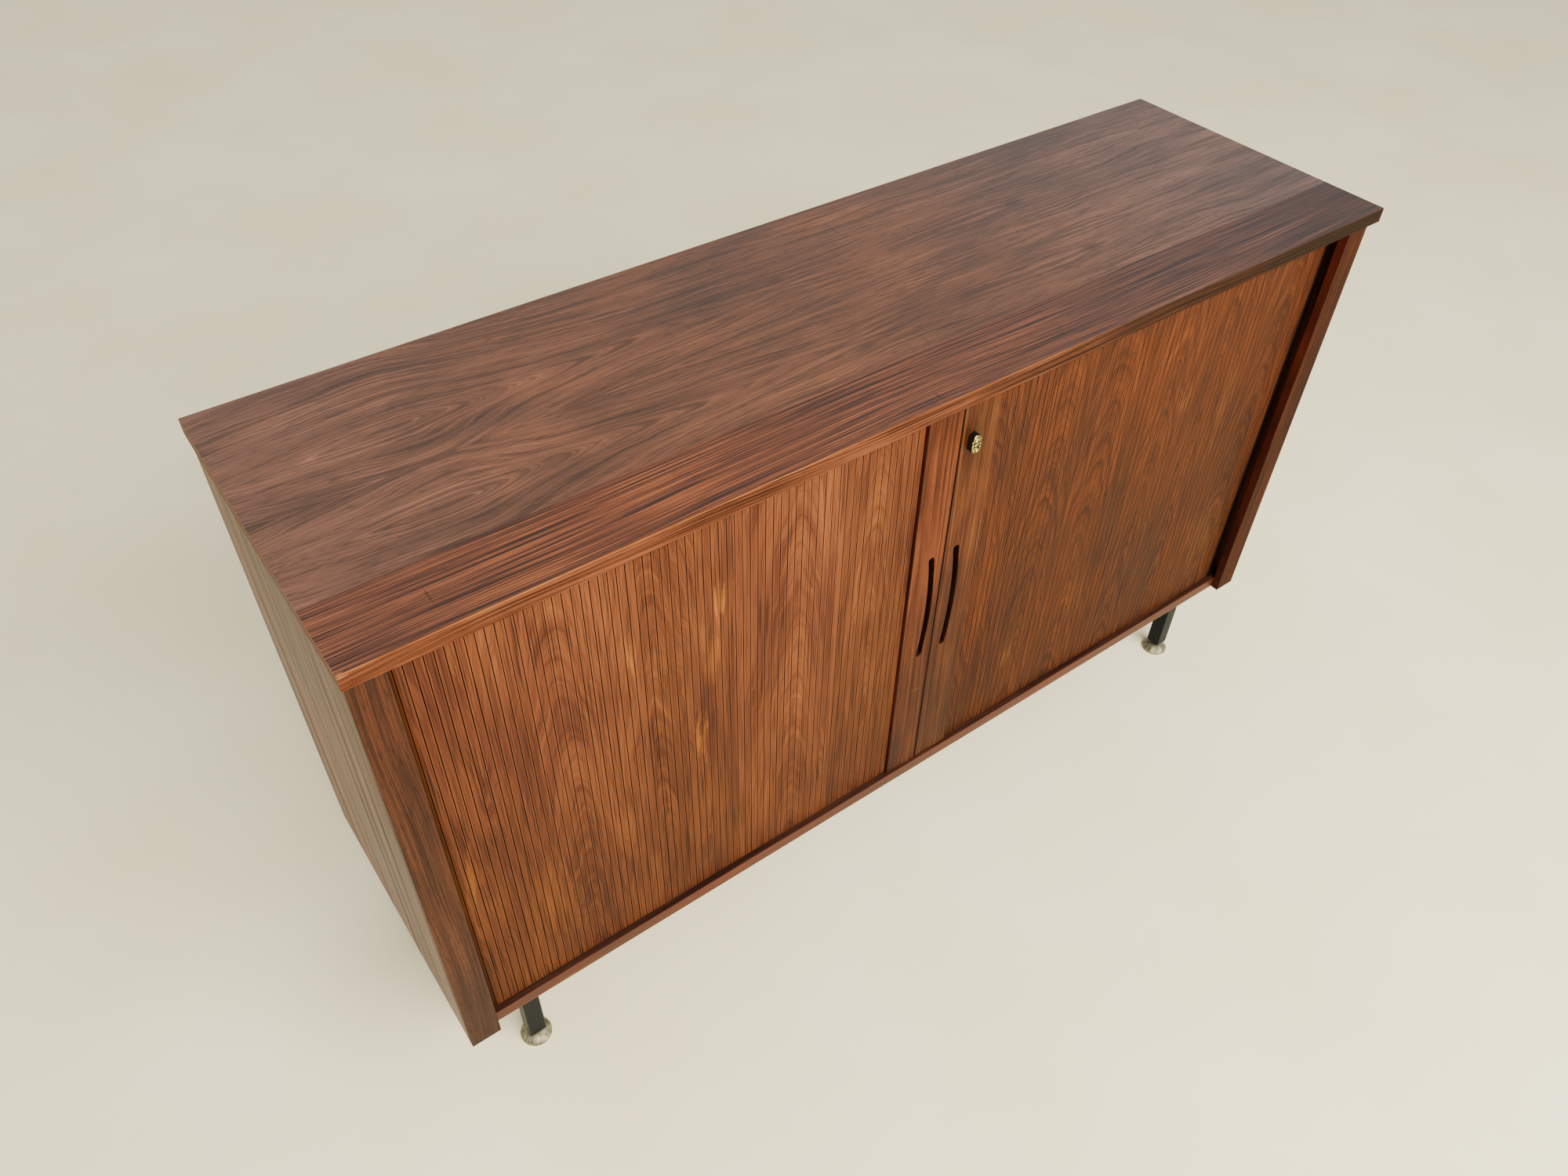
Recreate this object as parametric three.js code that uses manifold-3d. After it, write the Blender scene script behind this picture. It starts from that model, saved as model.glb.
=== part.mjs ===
// Tambour door cabinet: a sideboard whose two doors are curtains of narrow upright slats.
// The slats slide in grooves cut in the top and the bottom board. The grooves run round the
// corners, along the sides and along the back, where the open curtains lie out of sight.
// Millimetres, +X to the right, +Y to the back, +Z up. The origin lies on the floor, under
// the middle of the top.

import * as THREE from "three";
import { mergeVertices } from "three/addons/utils/BufferGeometryUtils.js";
import Module from "manifold-3d";

const wasm = await Module();
wasm.setup();

// Overall sizes and clearances
const CABINET_W = 1500;
const CABINET_D = 447;
const CABINET_H = 886;
const CASE_LIFT = 159; // floor to the underside of the case
const FIT = 0.3; // between pieces that touch
const PLAY = 0.3; // round pins, shanks and plugs in their holes
const CUT_OVER = 2; // how far a cutting solid runs past what it cuts
const ROUND_SIDES = 24;
const SMALL_ROUND_SIDES = 12;
const ARC_STEPS = 8; // steps in each arc of an outline

// Top, boards and panels
const TOP_T = 20;
const TOP_END_OVERHANG = 3.5;
const TOP_FRONT_OVERHANG = 11.5;
const TOP_ARRIS = 0.8;
const BOTTOM_T = 20;
const STILE_W = 40;
const STILE_T = 13;
const OUTER_SIDE_T = 14;
const INNER_SIDE_T = 8;
const OUTER_BACK_T = 6;
const INNER_BACK_T = 5;
const PARTITION_T = 18;

// Grooves and slats. A slat is SLAT_T thick with its canvas, and only its rear part, the
// tongue, enters the grooves.
const SLAT_PITCH = 10.3; // nominal, rounded to a whole number of slats on each door
const SLAT_GAP = 0.3;
const SLAT_T = 7;
const SLAT_ARRIS = 0.5;
const SLAT_NOTCH = 2; // depth of the joint between two slats
const SLAT_SETBACK = 9; // slat faces behind the back of the stiles
const SHOULDER_GAP = 2.5; // slat faces end short of the boards
const TONGUE_T = 4.5;
const TONGUE_DEPTH = 6;
const GROOVE_DEPTH = 8;
const GROOVE_PLAY = 0.65; // on each side of a tongue
const TURN_R = 20; // middle of the groove in its corners
const RUN_PLAY = 2.5; // slat faces from the outer sides and the outer back
const LINING_GAP = 5; // inner sides and inner back behind the slats
const TAIL_COVER = 2; // how far a closed curtain goes on behind its stile

// Lead rails with their finger slots. The doors meet right of the middle.
const MEETING_X = 4.5;
const MEETING_GAP = 1.5;
const LEFT_RAIL_W = 54;
const RIGHT_RAIL_W = 61;
const RAIL_PROUD = 5; // ahead of the slat faces
const RAIL_ARRIS = 1;
const RAIL_END_GAP = 3;
const SLOT_L = 187;
const SLOT_W = 9.5;
const SLOT_BULGE = 6;
const SLOT_INSET = 20.5; // from the meeting edge to the ends of the slot
const SLOT_DROP = 5; // below the middle of the door

// Lock in the right lead rail, keeper on the left one
const LOCK_W = 13.7;
const LOCK_H = 26.7;
const LOCK_STAND = 9; // ahead of the rail
const LOCK_INSET = 18; // from the meeting edge
const LOCK_DROP = 103.8; // below the top
const PLUG_R = 4.3;
const PLUG_RECESS = 0.5;
const KEY_SLOT_W = 1.4;
const KEY_SLOT_L = 6;
const KEY_SLOT_DEPTH = 8;
const LOCK_CASE_W = 36;
const LOCK_CASE_H = 50;
const LOCK_CASE_T = 11;
const LOCK_CASE_WALL = 2;
const LOCK_EDGE_GAP = 2; // lock case and keeper from their meeting edges
const BOLT_TRAVEL = 9;
const BOLT_H = 16;
const BOLT_TAIL = 6; // bolt past its drive pin
const DRIVE_DISC_T = 2;
const DRIVE_PIN_R = 1.5;
const DRIVE_PIN_PLAY = 0.55; // also takes up the pin's swing off the straight
const KEEPER_W = 12;
const KEEPER_H = 28;

// Inside fittings
const FITTING_SETBACK = 3; // partition and shelves behind the lock case
const SHELF_T = 16;
const SHELF_PLAY = 0.8; // each end of a shelf
const SHELF_LIFT = 345; // top of the bottom board to the underside of a shelf
const SHELF_BACK_GAP = 4;
const PIN_R = 2.5;
const PIN_IN = 6;
const PIN_OUT = 9;
const PIN_INSET = 45; // from the front and back edges of a shelf
const PIN_ROW_STEP = 32;
const PIN_ROW_COUNT = 3;

// Legs, cross rails, screws and glides
const TUBE = 25;
const TUBE_WALL = 1.5;
const LEG_END_T = 3;
const LEG_INSET_X = 86; // from the ends of the top
const LEG_INSET_Y = 50; // from its front and back edges
const LEG_LIFT = 20.6; // floor to the end of the tube
const SCREW_R = 3;
const SCREW_HEAD_R = 5.5;
const SCREW_HEAD_T = 3;
const SCREW_BITE = 12; // into the bottom board
const SCREW_INSET = 30; // from the ends of a cross rail
const GLIDE_R = 22;
const GLIDE_RIM = 3;
const GLIDE_DOME_H = 12;
const GLIDE_NECK_R = 8;
const GLIDE_STEM_R = 5;
const GLIDE_STEM_TOP = 60; // above the floor

// Places that follow from the sizes
const topUnder = CABINET_H - TOP_T;
const boardTop = CASE_LIFT + BOTTOM_T;
const caseEnd = CABINET_W / 2 - TOP_END_OVERHANG;
const caseBack = CABINET_D / 2;
const stileFront = -CABINET_D / 2 + TOP_FRONT_OVERHANG;
const stileBack = stileFront + STILE_T;
const inside = caseEnd - STILE_W; // half the clear width between the stiles
const slatFront = stileBack + SLAT_SETBACK;
const slatBack = slatFront + SLAT_T;
const outerSideInner = caseEnd - OUTER_SIDE_T;
const outerBackInner = caseBack - OUTER_BACK_T;
const tongueMiddle = SLAT_T - TONGUE_T / 2; // behind the slat face
const trackFront = slatFront + tongueMiddle;
const trackEnd = outerSideInner - RUN_PLAY - tongueMiddle;
const trackBack = outerBackInner - RUN_PLAY - tongueMiddle;
const turnX = trackEnd - TURN_R; // where the groove leaves the straight
const liningFront = slatBack + LINING_GAP;
const innerBackOuter = trackBack - TONGUE_T / 2 - LINING_GAP;
const innerBackInner = innerBackOuter - INNER_BACK_T;
const railFront = slatFront - RAIL_PROUD;
const lockCaseFront = slatBack + FIT;
const lockCaseBack = lockCaseFront + LOCK_CASE_T;
const fittingFront = lockCaseBack + FITTING_SETBACK;
const shelfUnder = boardTop + SHELF_LIFT;
const legEnd = CABINET_W / 2 - LEG_INSET_X; // outer faces of the legs
const legFront = CABINET_D / 2 - LEG_INSET_Y; // front and back faces of the legs
const caseUnder = CASE_LIFT - FIT;
const crossRailUnder = caseUnder - TUBE;
const quarterTurn = Math.PI / 2;

// Finishes
const rosewoodTop = finish("rosewood veneer on the top", 0x6b4234, 0.38);
const rosewoodCase = finish("rosewood veneer on the case", 0x74472f, 0.42);
const slatWood = finish("rosewood slats", 0x8a5230, 0.45);
const railWood = finish("solid rosewood rails", 0x7c4a30, 0.42);
const innerWood = finish("beech ply inside", 0xb88a5c, 0.6);
const blackSteel = finish("black lacquered steel", 0x1c1e1f, 0.45, 0.4);
const brass = finish("brass", 0xa8945a, 0.32, 0.9);
const steel = finish("bright steel", 0x9a9a96, 0.35, 0.9);
const nickel = finish("worn nickel on the glides", 0xb9b3a0, 0.38, 0.8);

function finish(name, color, roughness, metalness = 0) {
  const material = new THREE.MeshStandardMaterial({ color, roughness, metalness, flatShading: true });
  material.name = name;
  return material;
}

// Plain solids. A pair such as [x0, x1] gives the low and the high end along one axis.
function box(x, y, z) {
  const size = [x, y, z].map(([low, high]) => high - low);
  const middle = [x, y, z].map(([low, high]) => (low + high) / 2);
  return solid(new THREE.BoxGeometry(...size).translate(...middle));
}

function prismX(outline, [low, high]) {
  const turn = new THREE.Matrix4().makeBasis(
    new THREE.Vector3(0, 1, 0),
    new THREE.Vector3(0, 0, 1),
    new THREE.Vector3(1, 0, 0),
  );
  return solid(extruded(outline, high - low).applyMatrix4(turn).translate(low, 0, 0));
}

function prismY(outline, [low, high]) {
  return solid(extruded(outline, high - low).rotateX(quarterTurn).translate(0, high, 0));
}

function prismZ(outline, [low, high]) {
  return solid(extruded(outline, high - low).translate(0, 0, low));
}

function extruded(outline, depth) {
  return new THREE.ExtrudeGeometry(outline, {
    depth,
    bevelEnabled: false,
    curveSegments: ARC_STEPS,
  });
}

function rodY(x, z, radius, [low, high], sides = ROUND_SIDES) {
  const rod = new THREE.CylinderGeometry(radius, radius, high - low, sides);
  return solid(rod.translate(x, (low + high) / 2, z));
}

function rodZ(x, y, radius, [low, high], sides = ROUND_SIDES) {
  const rod = new THREE.CylinderGeometry(radius, radius, high - low, sides).rotateX(quarterTurn);
  return solid(rod.translate(x, y, (low + high) / 2));
}

function rodX(y, z, radius, [low, high], sides = ROUND_SIDES) {
  const rod = new THREE.CylinderGeometry(radius, radius, high - low, sides).rotateZ(quarterTurn);
  return solid(rod.translate((low + high) / 2, y, z));
}

function pair(a, b) {
  return a < b ? [a, b] : [b, a];
}

// A closed surface becomes a solid that can be cut and joined.
function solid(geometry) {
  const bare = geometry.index ? geometry.toNonIndexed() : geometry.clone();
  bare.deleteAttribute("normal");
  bare.deleteAttribute("uv");
  const merged = mergeVertices(bare);
  const corners = merged.index.array;
  const triVerts = [];
  for (let i = 0; i < corners.length; i += 3) {
    const [a, b, c] = corners.slice(i, i + 3);
    if (a !== b && b !== c && c !== a) triVerts.push(a, b, c);
  }
  return new wasm.Manifold(
    new wasm.Mesh({
      numProp: 3,
      vertProperties: merged.attributes.position.array,
      triVerts: new Uint32Array(triVerts),
    }),
  );
}

function cut(body, ...tools) {
  return tools.reduce((rest, tool) => rest.subtract(tool), body);
}

function joined(first, ...others) {
  return others.reduce((whole, other) => whole.add(other), first);
}

// A named piece of the cabinet, moved from where its solid was made.
function piece(group, name, body, material, x = 0, y = 0, z = 0) {
  const made = body.getMesh();
  const geometry = new THREE.BufferGeometry();
  geometry.setAttribute("position", new THREE.BufferAttribute(made.vertProperties, 3));
  geometry.setIndex(new THREE.BufferAttribute(made.triVerts, 1));
  geometry.computeVertexNormals();
  const mesh = new THREE.Mesh(geometry, material.clone());
  mesh.name = name;
  mesh.position.set(x, y, z);
  group.add(mesh);
}

// The groove seen from above: a long loop with round corners, as wide as a tongue and its play.
function grooveOutline() {
  const halfWidth = TONGUE_T / 2 + GROOVE_PLAY;
  const outline = roundedLoop(new THREE.Shape(), halfWidth);
  outline.holes.push(roundedLoop(new THREE.Path(), -halfWidth));
  return outline;
}

function roundedLoop(loop, offset) {
  const radius = TURN_R + offset;
  const front = trackFront + TURN_R;
  const back = trackBack - TURN_R;
  loop.absarc(turnX, back, radius, 0, quarterTurn, false);
  loop.absarc(-turnX, back, radius, quarterTurn, 2 * quarterTurn, false);
  loop.absarc(-turnX, front, radius, 2 * quarterTurn, 3 * quarterTurn, false);
  loop.absarc(turnX, front, radius, 3 * quarterTurn, 4 * quarterTurn, false);
  loop.closePath();
  return loop;
}

function topPanel(group) {
  const back = CABINET_D / 2;
  const profile = new THREE.Shape();
  profile.moveTo(-back, topUnder);
  profile.lineTo(back, topUnder);
  profile.lineTo(back, CABINET_H - TOP_ARRIS);
  profile.lineTo(back - TOP_ARRIS, CABINET_H);
  profile.lineTo(-back + TOP_ARRIS, CABINET_H);
  profile.lineTo(-back, CABINET_H - TOP_ARRIS);
  profile.closePath();
  const slab = prismX(profile, [-CABINET_W / 2, CABINET_W / 2]);
  const groove = prismZ(grooveOutline(), [topUnder - CUT_OVER, topUnder + GROOVE_DEPTH]);
  piece(group, "top_panel", cut(slab, groove), rosewoodTop);
}

function bottomBoard(group) {
  const end = outerSideInner - FIT;
  const board = box([-end, end], [stileBack + FIT, outerBackInner - FIT], [CASE_LIFT, boardTop]);
  const groove = prismZ(grooveOutline(), [boardTop - GROOVE_DEPTH, boardTop + CUT_OVER]);
  const holes = [];
  for (const side of [-1, 1]) {
    for (const y of screwPlaces()) {
      const hole = [CASE_LIFT - CUT_OVER, caseUnder + SCREW_BITE + PLAY];
      holes.push(rodZ(side * (legEnd - TUBE / 2), y, SCREW_R + PLAY, hole, SMALL_ROUND_SIDES));
    }
  }
  piece(group, "bottom_board", cut(board, groove, ...holes), rosewoodCase);
}

// Outer sides, with the stiles that close their front edges
function sides(group) {
  const height = [CASE_LIFT, topUnder - FIT];
  for (const [name, side] of [["left", -1], ["right", 1]]) {
    const stile = box([-STILE_W / 2, STILE_W / 2], [stileFront, stileBack], height);
    piece(group, `${name}_stile`, stile, rosewoodCase, side * (caseEnd - STILE_W / 2));
    const panelHalf = OUTER_SIDE_T / 2;
    const panel = box([-panelHalf, panelHalf], [stileBack + FIT, caseBack], height);
    piece(group, `${name}_outer_side`, panel, rosewoodCase, side * (caseEnd - panelHalf));
  }
}

// The linings hide the open curtains, and the inner sides carry the shelves.
function linings(group) {
  const height = [boardTop + FIT, topUnder - FIT];
  const backEnd = inside + INNER_SIDE_T;
  const outerBackEnd = outerSideInner - FIT;
  const outerBack = box(
    [-outerBackEnd, outerBackEnd],
    [outerBackInner, caseBack],
    [CASE_LIFT, topUnder - FIT],
  );
  piece(group, "outer_back", outerBack, innerWood);
  const innerBack = box([-backEnd, backEnd], [innerBackInner, innerBackOuter], height);
  piece(group, "inner_back", innerBack, innerWood);
  for (const [name, side] of [["left", -1], ["right", 1]]) {
    const across = pair(side * inside, side * backEnd);
    const panel = box(across, [liningFront, innerBackInner - FIT], height);
    const holes = pinHoles(side * inside, side);
    piece(group, `${name}_inner_side`, cut(panel, ...holes), innerWood);
  }
  const half = PARTITION_T / 2;
  const partition = box([-half, half], [fittingFront, innerBackInner - FIT], height);
  const holes = [...pinHoles(-half, 1), ...pinHoles(half, -1)];
  piece(group, "centre_partition", cut(partition, ...holes), innerWood);
}

function shelfBack() {
  return innerBackInner - SHELF_BACK_GAP;
}

function pinDepths() {
  return [fittingFront + PIN_INSET, shelfBack() - PIN_INSET];
}

function pinHeight() {
  return shelfUnder - FIT - PIN_R;
}

// Rows of holes for shelf pins, sunk from the face at x in the direction inward
function pinHoles(x, inward) {
  const holes = [];
  const ends = pair(x - inward * CUT_OVER, x + inward * (PIN_IN + PLAY));
  for (const y of pinDepths()) {
    for (let i = 0; i < PIN_ROW_COUNT; i++) {
      const z = pinHeight() + (i - (PIN_ROW_COUNT - 1) / 2) * PIN_ROW_STEP;
      holes.push(rodX(y, z, PIN_R + PLAY, ends, SMALL_ROUND_SIDES));
    }
  }
  return holes;
}

function shelves(group) {
  const half = PARTITION_T / 2;
  for (const [name, side] of [["left", -1], ["right", 1]]) {
    const across = pair(side * (half + SHELF_PLAY), side * (inside - SHELF_PLAY));
    const shelf = box(across, [fittingFront, shelfBack()], [shelfUnder, shelfUnder + SHELF_T]);
    piece(group, `${name}_shelf`, shelf, innerWood);
    let number = 1;
    for (const [face, inward] of [[half, -1], [inside, 1]]) {
      for (const y of pinDepths()) {
        const ends = pair(side * (face + inward * PIN_IN), side * (face - inward * PIN_OUT));
        const pin = rodX(y, pinHeight(), PIN_R, ends, SMALL_ROUND_SIDES);
        piece(group, `${name}_shelf_pin_${number}`, pin, steel);
        number += 1;
      }
    }
  }
}

// Doors. Along a door, sizes count outward from the middle of the cabinet, and side turns
// them into x.
const doors = [
  { name: "left", side: -1, meeting: MEETING_GAP / 2 - MEETING_X, railWidth: LEFT_RAIL_W },
  { name: "right", side: 1, meeting: MEETING_GAP / 2 + MEETING_X, railWidth: RIGHT_RAIL_W },
];

function tongue(side, from, to) {
  return box(
    pair(side * from, side * to),
    [slatBack - TONGUE_T, slatBack],
    [boardTop - TONGUE_DEPTH, topUnder + TONGUE_DEPTH],
  );
}

// Slats side by side on their canvas, each with broken front corners
function slatRun(side, slats) {
  const points = [[slats[0][0], slatBack]];
  slats.forEach(([from, to], i) => {
    points.push([from, slatFront + SLAT_ARRIS]);
    points.push([from + SLAT_ARRIS, slatFront]);
    points.push([to - SLAT_ARRIS, slatFront]);
    points.push([to, slatFront + SLAT_ARRIS]);
    if (i < slats.length - 1) {
      points.push([to, slatFront + SLAT_NOTCH]);
      points.push([slats[i + 1][0], slatFront + SLAT_NOTCH]);
    }
  });
  const last = slats[slats.length - 1][1];
  points.push([last, slatBack]);
  const outline = new THREE.Shape(points.map(([out, y]) => new THREE.Vector2(side * out, y)));
  const faces = prismZ(outline, [boardTop + SHOULDER_GAP, topUnder - SHOULDER_GAP]);
  return joined(faces, tongue(side, slats[0][0], last));
}

// The curtain is made in the pieces that it lies in when the door stands open: single slats
// round the front corner, a run along the side, single slats round the back corner, and a run
// along the back. Lengths along the way are measured on the canvas.
function curtain(group, door) {
  const railEdge = door.meeting + door.railWidth;
  const span = inside + TAIL_COVER - railEdge;
  const count = Math.round(span / SLAT_PITCH);
  const pitch = span / count;
  const slats = [];
  for (let i = 0; i < count; i++) {
    const from = railEdge + SLAT_GAP + i * pitch;
    slats.push([from, from + pitch - SLAT_GAP]);
  }
  const turn = quarterTurn * (TURN_R - TONGUE_T / 2);
  const sideRun = trackBack - trackFront - 2 * TURN_R;
  const inCorner = Math.ceil(turn / pitch);
  const aheadOfBackCorner = Math.round((turn + sideRun) / pitch);
  singleSlats(group, door, "front_corner_slat", slats.splice(0, inCorner));
  const sideSlats = slats.splice(0, aheadOfBackCorner - inCorner);
  piece(group, `${door.name}_side_slats`, slatRun(door.side, sideSlats), slatWood);
  singleSlats(group, door, "back_corner_slat", slats.splice(0, inCorner));
  piece(group, `${door.name}_back_slats`, slatRun(door.side, slats), slatWood);
}

function singleSlats(group, door, name, slats) {
  slats.forEach((slat, i) => {
    piece(group, `${door.name}_${name}_${i + 1}`, slatRun(door.side, [slat]), slatWood);
  });
}

// The finger slot follows an arc that bulges to the right on both rails.
function fingerSlot(x) {
  const chord = SLOT_L - SLOT_W;
  const radius = (chord * chord) / (8 * SLOT_BULGE) + SLOT_BULGE / 2;
  const z = (boardTop + topUnder) / 2 - SLOT_DROP;
  const centre = x + SLOT_BULGE - radius;
  const lean = Math.asin(chord / 2 / radius);
  const half = SLOT_W / 2;
  const endX = centre + radius * Math.cos(lean);
  const endRise = radius * Math.sin(lean);
  const outline = new THREE.Shape();
  outline.absarc(centre, z, radius + half, -lean, lean, false);
  outline.absarc(endX, z + endRise, half, lean, lean + Math.PI, false);
  outline.absarc(centre, z, radius - half, lean, -lean, true);
  outline.absarc(endX, z - endRise, half, Math.PI - lean, 2 * Math.PI - lean, false);
  outline.closePath();
  return prismY(outline, [railFront - CUT_OVER, slatBack + CUT_OVER]);
}

function leadRail(group, door, ...cuts) {
  const from = door.meeting;
  const to = from + door.railWidth;
  const points = [
    [from, slatBack],
    [from, railFront + RAIL_ARRIS],
    [from + RAIL_ARRIS, railFront],
    [to - RAIL_ARRIS, railFront],
    [to, railFront + RAIL_ARRIS],
    [to, slatBack],
  ];
  const outline = new THREE.Shape(points.map(([out, y]) => new THREE.Vector2(door.side * out, y)));
  const bar = prismZ(outline, [boardTop + RAIL_END_GAP, topUnder - RAIL_END_GAP]);
  const slot = fingerSlot(door.side * (from + SLOT_INSET));
  const rail = cut(joined(bar, tongue(door.side, from, to)), slot, ...cuts);
  piece(group, `${door.name}_lead_rail`, rail, railWood);
}

// Lock places
const lockX = doors[1].meeting + LOCK_INSET;
const lockZ = CABINET_H - LOCK_DROP;
const caseLeft = doors[1].meeting + LOCK_EDGE_GAP;
const cavity = [lockCaseFront + LOCK_CASE_WALL, lockCaseBack - LOCK_CASE_WALL];
const boltDepth = [cavity[0] + FIT + DRIVE_DISC_T + FIT, cavity[1] - FIT];
const drivePinX = lockX + BOLT_TRAVEL / 2;
const drivePinZ = lockZ + BOLT_TRAVEL / 2; // the pin starts at 45 degrees

function lockOutline(growth) {
  const radius = LOCK_W / 2 + growth;
  const rise = (LOCK_H - LOCK_W) / 2;
  const outline = new THREE.Shape();
  outline.absarc(lockX, lockZ + rise, radius, 0, Math.PI, false);
  outline.absarc(lockX, lockZ - rise, radius, Math.PI, 2 * Math.PI, false);
  outline.closePath();
  return outline;
}

function lock(group) {
  const face = railFront - LOCK_STAND;
  const shell = prismY(lockOutline(0), [face, slatBack]);
  const bore = rodY(lockX, lockZ, PLUG_R + PLAY, [face - CUT_OVER, slatBack + CUT_OVER]);
  piece(group, "lock_shell", cut(shell, bore), brass);

  const discR = Math.hypot(BOLT_TRAVEL / 2, BOLT_TRAVEL / 2) + DRIVE_PIN_R;
  const discEnd = cavity[0] + FIT + DRIVE_DISC_T;
  const plugFace = face + PLUG_RECESS;
  const keySlot = box(
    [lockX - KEY_SLOT_L / 2, lockX + KEY_SLOT_L / 2],
    [plugFace - CUT_OVER, plugFace + KEY_SLOT_DEPTH],
    [lockZ - KEY_SLOT_W / 2, lockZ + KEY_SLOT_W / 2],
  );
  const barrel = rodY(lockX, lockZ, PLUG_R, [plugFace, discEnd]);
  const disc = rodY(lockX, lockZ, discR, [cavity[0] + FIT, discEnd]);
  const pinEnds = [cavity[0] + FIT, boltDepth[1] - FIT];
  const pin = rodY(drivePinX, drivePinZ, DRIVE_PIN_R, pinEnds, SMALL_ROUND_SIDES);
  piece(group, "lock_plug", cut(joined(barrel, disc, pin), keySlot), brass);

  const shellBox = box(
    [caseLeft, caseLeft + LOCK_CASE_W],
    [lockCaseFront, lockCaseBack],
    [lockZ - LOCK_CASE_H / 2, lockZ + LOCK_CASE_H / 2],
  );
  const roomH = Math.max(BOLT_H / 2, discR) + FIT;
  const room = box(
    [caseLeft - CUT_OVER, caseLeft + LOCK_CASE_W - LOCK_CASE_WALL],
    cavity,
    [lockZ - roomH, lockZ + roomH],
  );
  const plugHole = rodY(lockX, lockZ, PLUG_R + PLAY, [lockCaseFront - CUT_OVER, cavity[0] + FIT]);
  piece(group, "lock_case", cut(shellBox, room, plugHole), steel);

  const boltBar = box(
    [caseLeft, drivePinX + BOLT_TAIL],
    boltDepth,
    [lockZ - BOLT_H / 2, lockZ + BOLT_H / 2],
  );
  const notchHalf = DRIVE_PIN_R + DRIVE_PIN_PLAY;
  const notch = box(
    [drivePinX - notchHalf, drivePinX + notchHalf],
    [boltDepth[0] - CUT_OVER, boltDepth[1] + CUT_OVER],
    [drivePinZ - notchHalf, lockZ + BOLT_H / 2 + CUT_OVER],
  );
  piece(group, "lock_bolt", cut(boltBar, notch), steel);
}

function keeper(group) {
  const right = -doors[0].meeting - LOCK_EDGE_GAP;
  const block = box(
    [right - KEEPER_W, right],
    [lockCaseFront, lockCaseBack],
    [lockZ - KEEPER_H / 2, lockZ + KEEPER_H / 2],
  );
  const hole = box(
    [right - KEEPER_W - CUT_OVER, right + CUT_OVER],
    [boltDepth[0] - PLAY, boltDepth[1] + PLAY],
    [lockZ - BOLT_H / 2 - PLAY, lockZ + BOLT_H / 2 + PLAY],
  );
  piece(group, "lock_keeper", cut(block, hole), steel);
}

function screwPlaces() {
  const place = legFront - TUBE - FIT - SCREW_INSET;
  return [-place, place];
}

// Legs of square tube, closed at the foot by a plate that takes the glide's stem
function legs(group) {
  const half = TUBE / 2;
  const bore = half - TUBE_WALL;
  const outer = box([-half, half], [-half, half], [LEG_LIFT, caseUnder]);
  const inner = box([-bore, bore], [-bore, bore], [LEG_LIFT + LEG_END_T, caseUnder + CUT_OVER]);
  const hole = rodZ(0, 0, GLIDE_STEM_R + PLAY, [LEG_LIFT - CUT_OVER, LEG_LIFT + 2 * LEG_END_T]);
  const leg = cut(outer, inner, hole);
  for (const [end, x] of [["left", -legEnd + half], ["right", legEnd - half]]) {
    for (const [row, y] of [["front", -legFront + half], ["back", legFront - half]]) {
      piece(group, `${end}_${row}_leg`, leg, blackSteel, x, y);
      piece(group, `${end}_${row}_glide`, glide(), nickel, x, y);
    }
  }
}

function crossRails(group) {
  const half = TUBE / 2;
  const bore = half - TUBE_WALL;
  const end = legFront - TUBE - FIT;
  const middle = (crossRailUnder + caseUnder) / 2;
  const outer = box([-half, half], [-end, end], [crossRailUnder, caseUnder]);
  const inner = box(
    [-bore, bore],
    [-end - CUT_OVER, end + CUT_OVER],
    [middle - bore, middle + bore],
  );
  const through = [crossRailUnder - CUT_OVER, caseUnder + CUT_OVER];
  const holes = screwPlaces().map((y) => rodZ(0, y, SCREW_R + PLAY, through, SMALL_ROUND_SIDES));
  for (const [name, side] of [["left", -1], ["right", 1]]) {
    const x = side * (legEnd - half);
    piece(group, `${name}_cross_rail`, cut(outer, inner, ...holes), blackSteel, x);
    screwPlaces().forEach((y, i) => {
      piece(group, `${name}_rail_screw_${i + 1}`, screw(), steel, x, y);
    });
  }
}

function screw() {
  const headTop = crossRailUnder - FIT;
  const head = rodZ(0, 0, SCREW_HEAD_R, [headTop - SCREW_HEAD_T, headTop], SMALL_ROUND_SIDES);
  const shankEnds = [headTop - SCREW_HEAD_T / 2, caseUnder + SCREW_BITE];
  return joined(head, rodZ(0, 0, SCREW_R, shankEnds, SMALL_ROUND_SIDES));
}

// A domed disc on a stem, turned as one
function glide() {
  const profile = [new THREE.Vector2(0, 0), new THREE.Vector2(GLIDE_R, 0)];
  for (let i = 0; i <= ARC_STEPS; i++) {
    const turn = (i / ARC_STEPS) * quarterTurn;
    const r = GLIDE_NECK_R + (GLIDE_R - GLIDE_NECK_R) * Math.cos(turn);
    const z = GLIDE_RIM + (GLIDE_DOME_H - GLIDE_RIM) * Math.sin(turn);
    profile.push(new THREE.Vector2(r, z));
  }
  profile.push(new THREE.Vector2(GLIDE_STEM_R, GLIDE_DOME_H));
  profile.push(new THREE.Vector2(GLIDE_STEM_R, GLIDE_STEM_TOP));
  profile.push(new THREE.Vector2(0, GLIDE_STEM_TOP));
  return solid(new THREE.LatheGeometry(profile, ROUND_SIDES).rotateX(quarterTurn));
}

function caseWork() {
  const group = new THREE.Group();
  topPanel(group);
  bottomBoard(group);
  sides(group);
  linings(group);
  shelves(group);
  return group;
}

function leftDoor() {
  const group = new THREE.Group();
  leadRail(group, doors[0]);
  keeper(group);
  curtain(group, doors[0]);
  return group;
}

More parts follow.
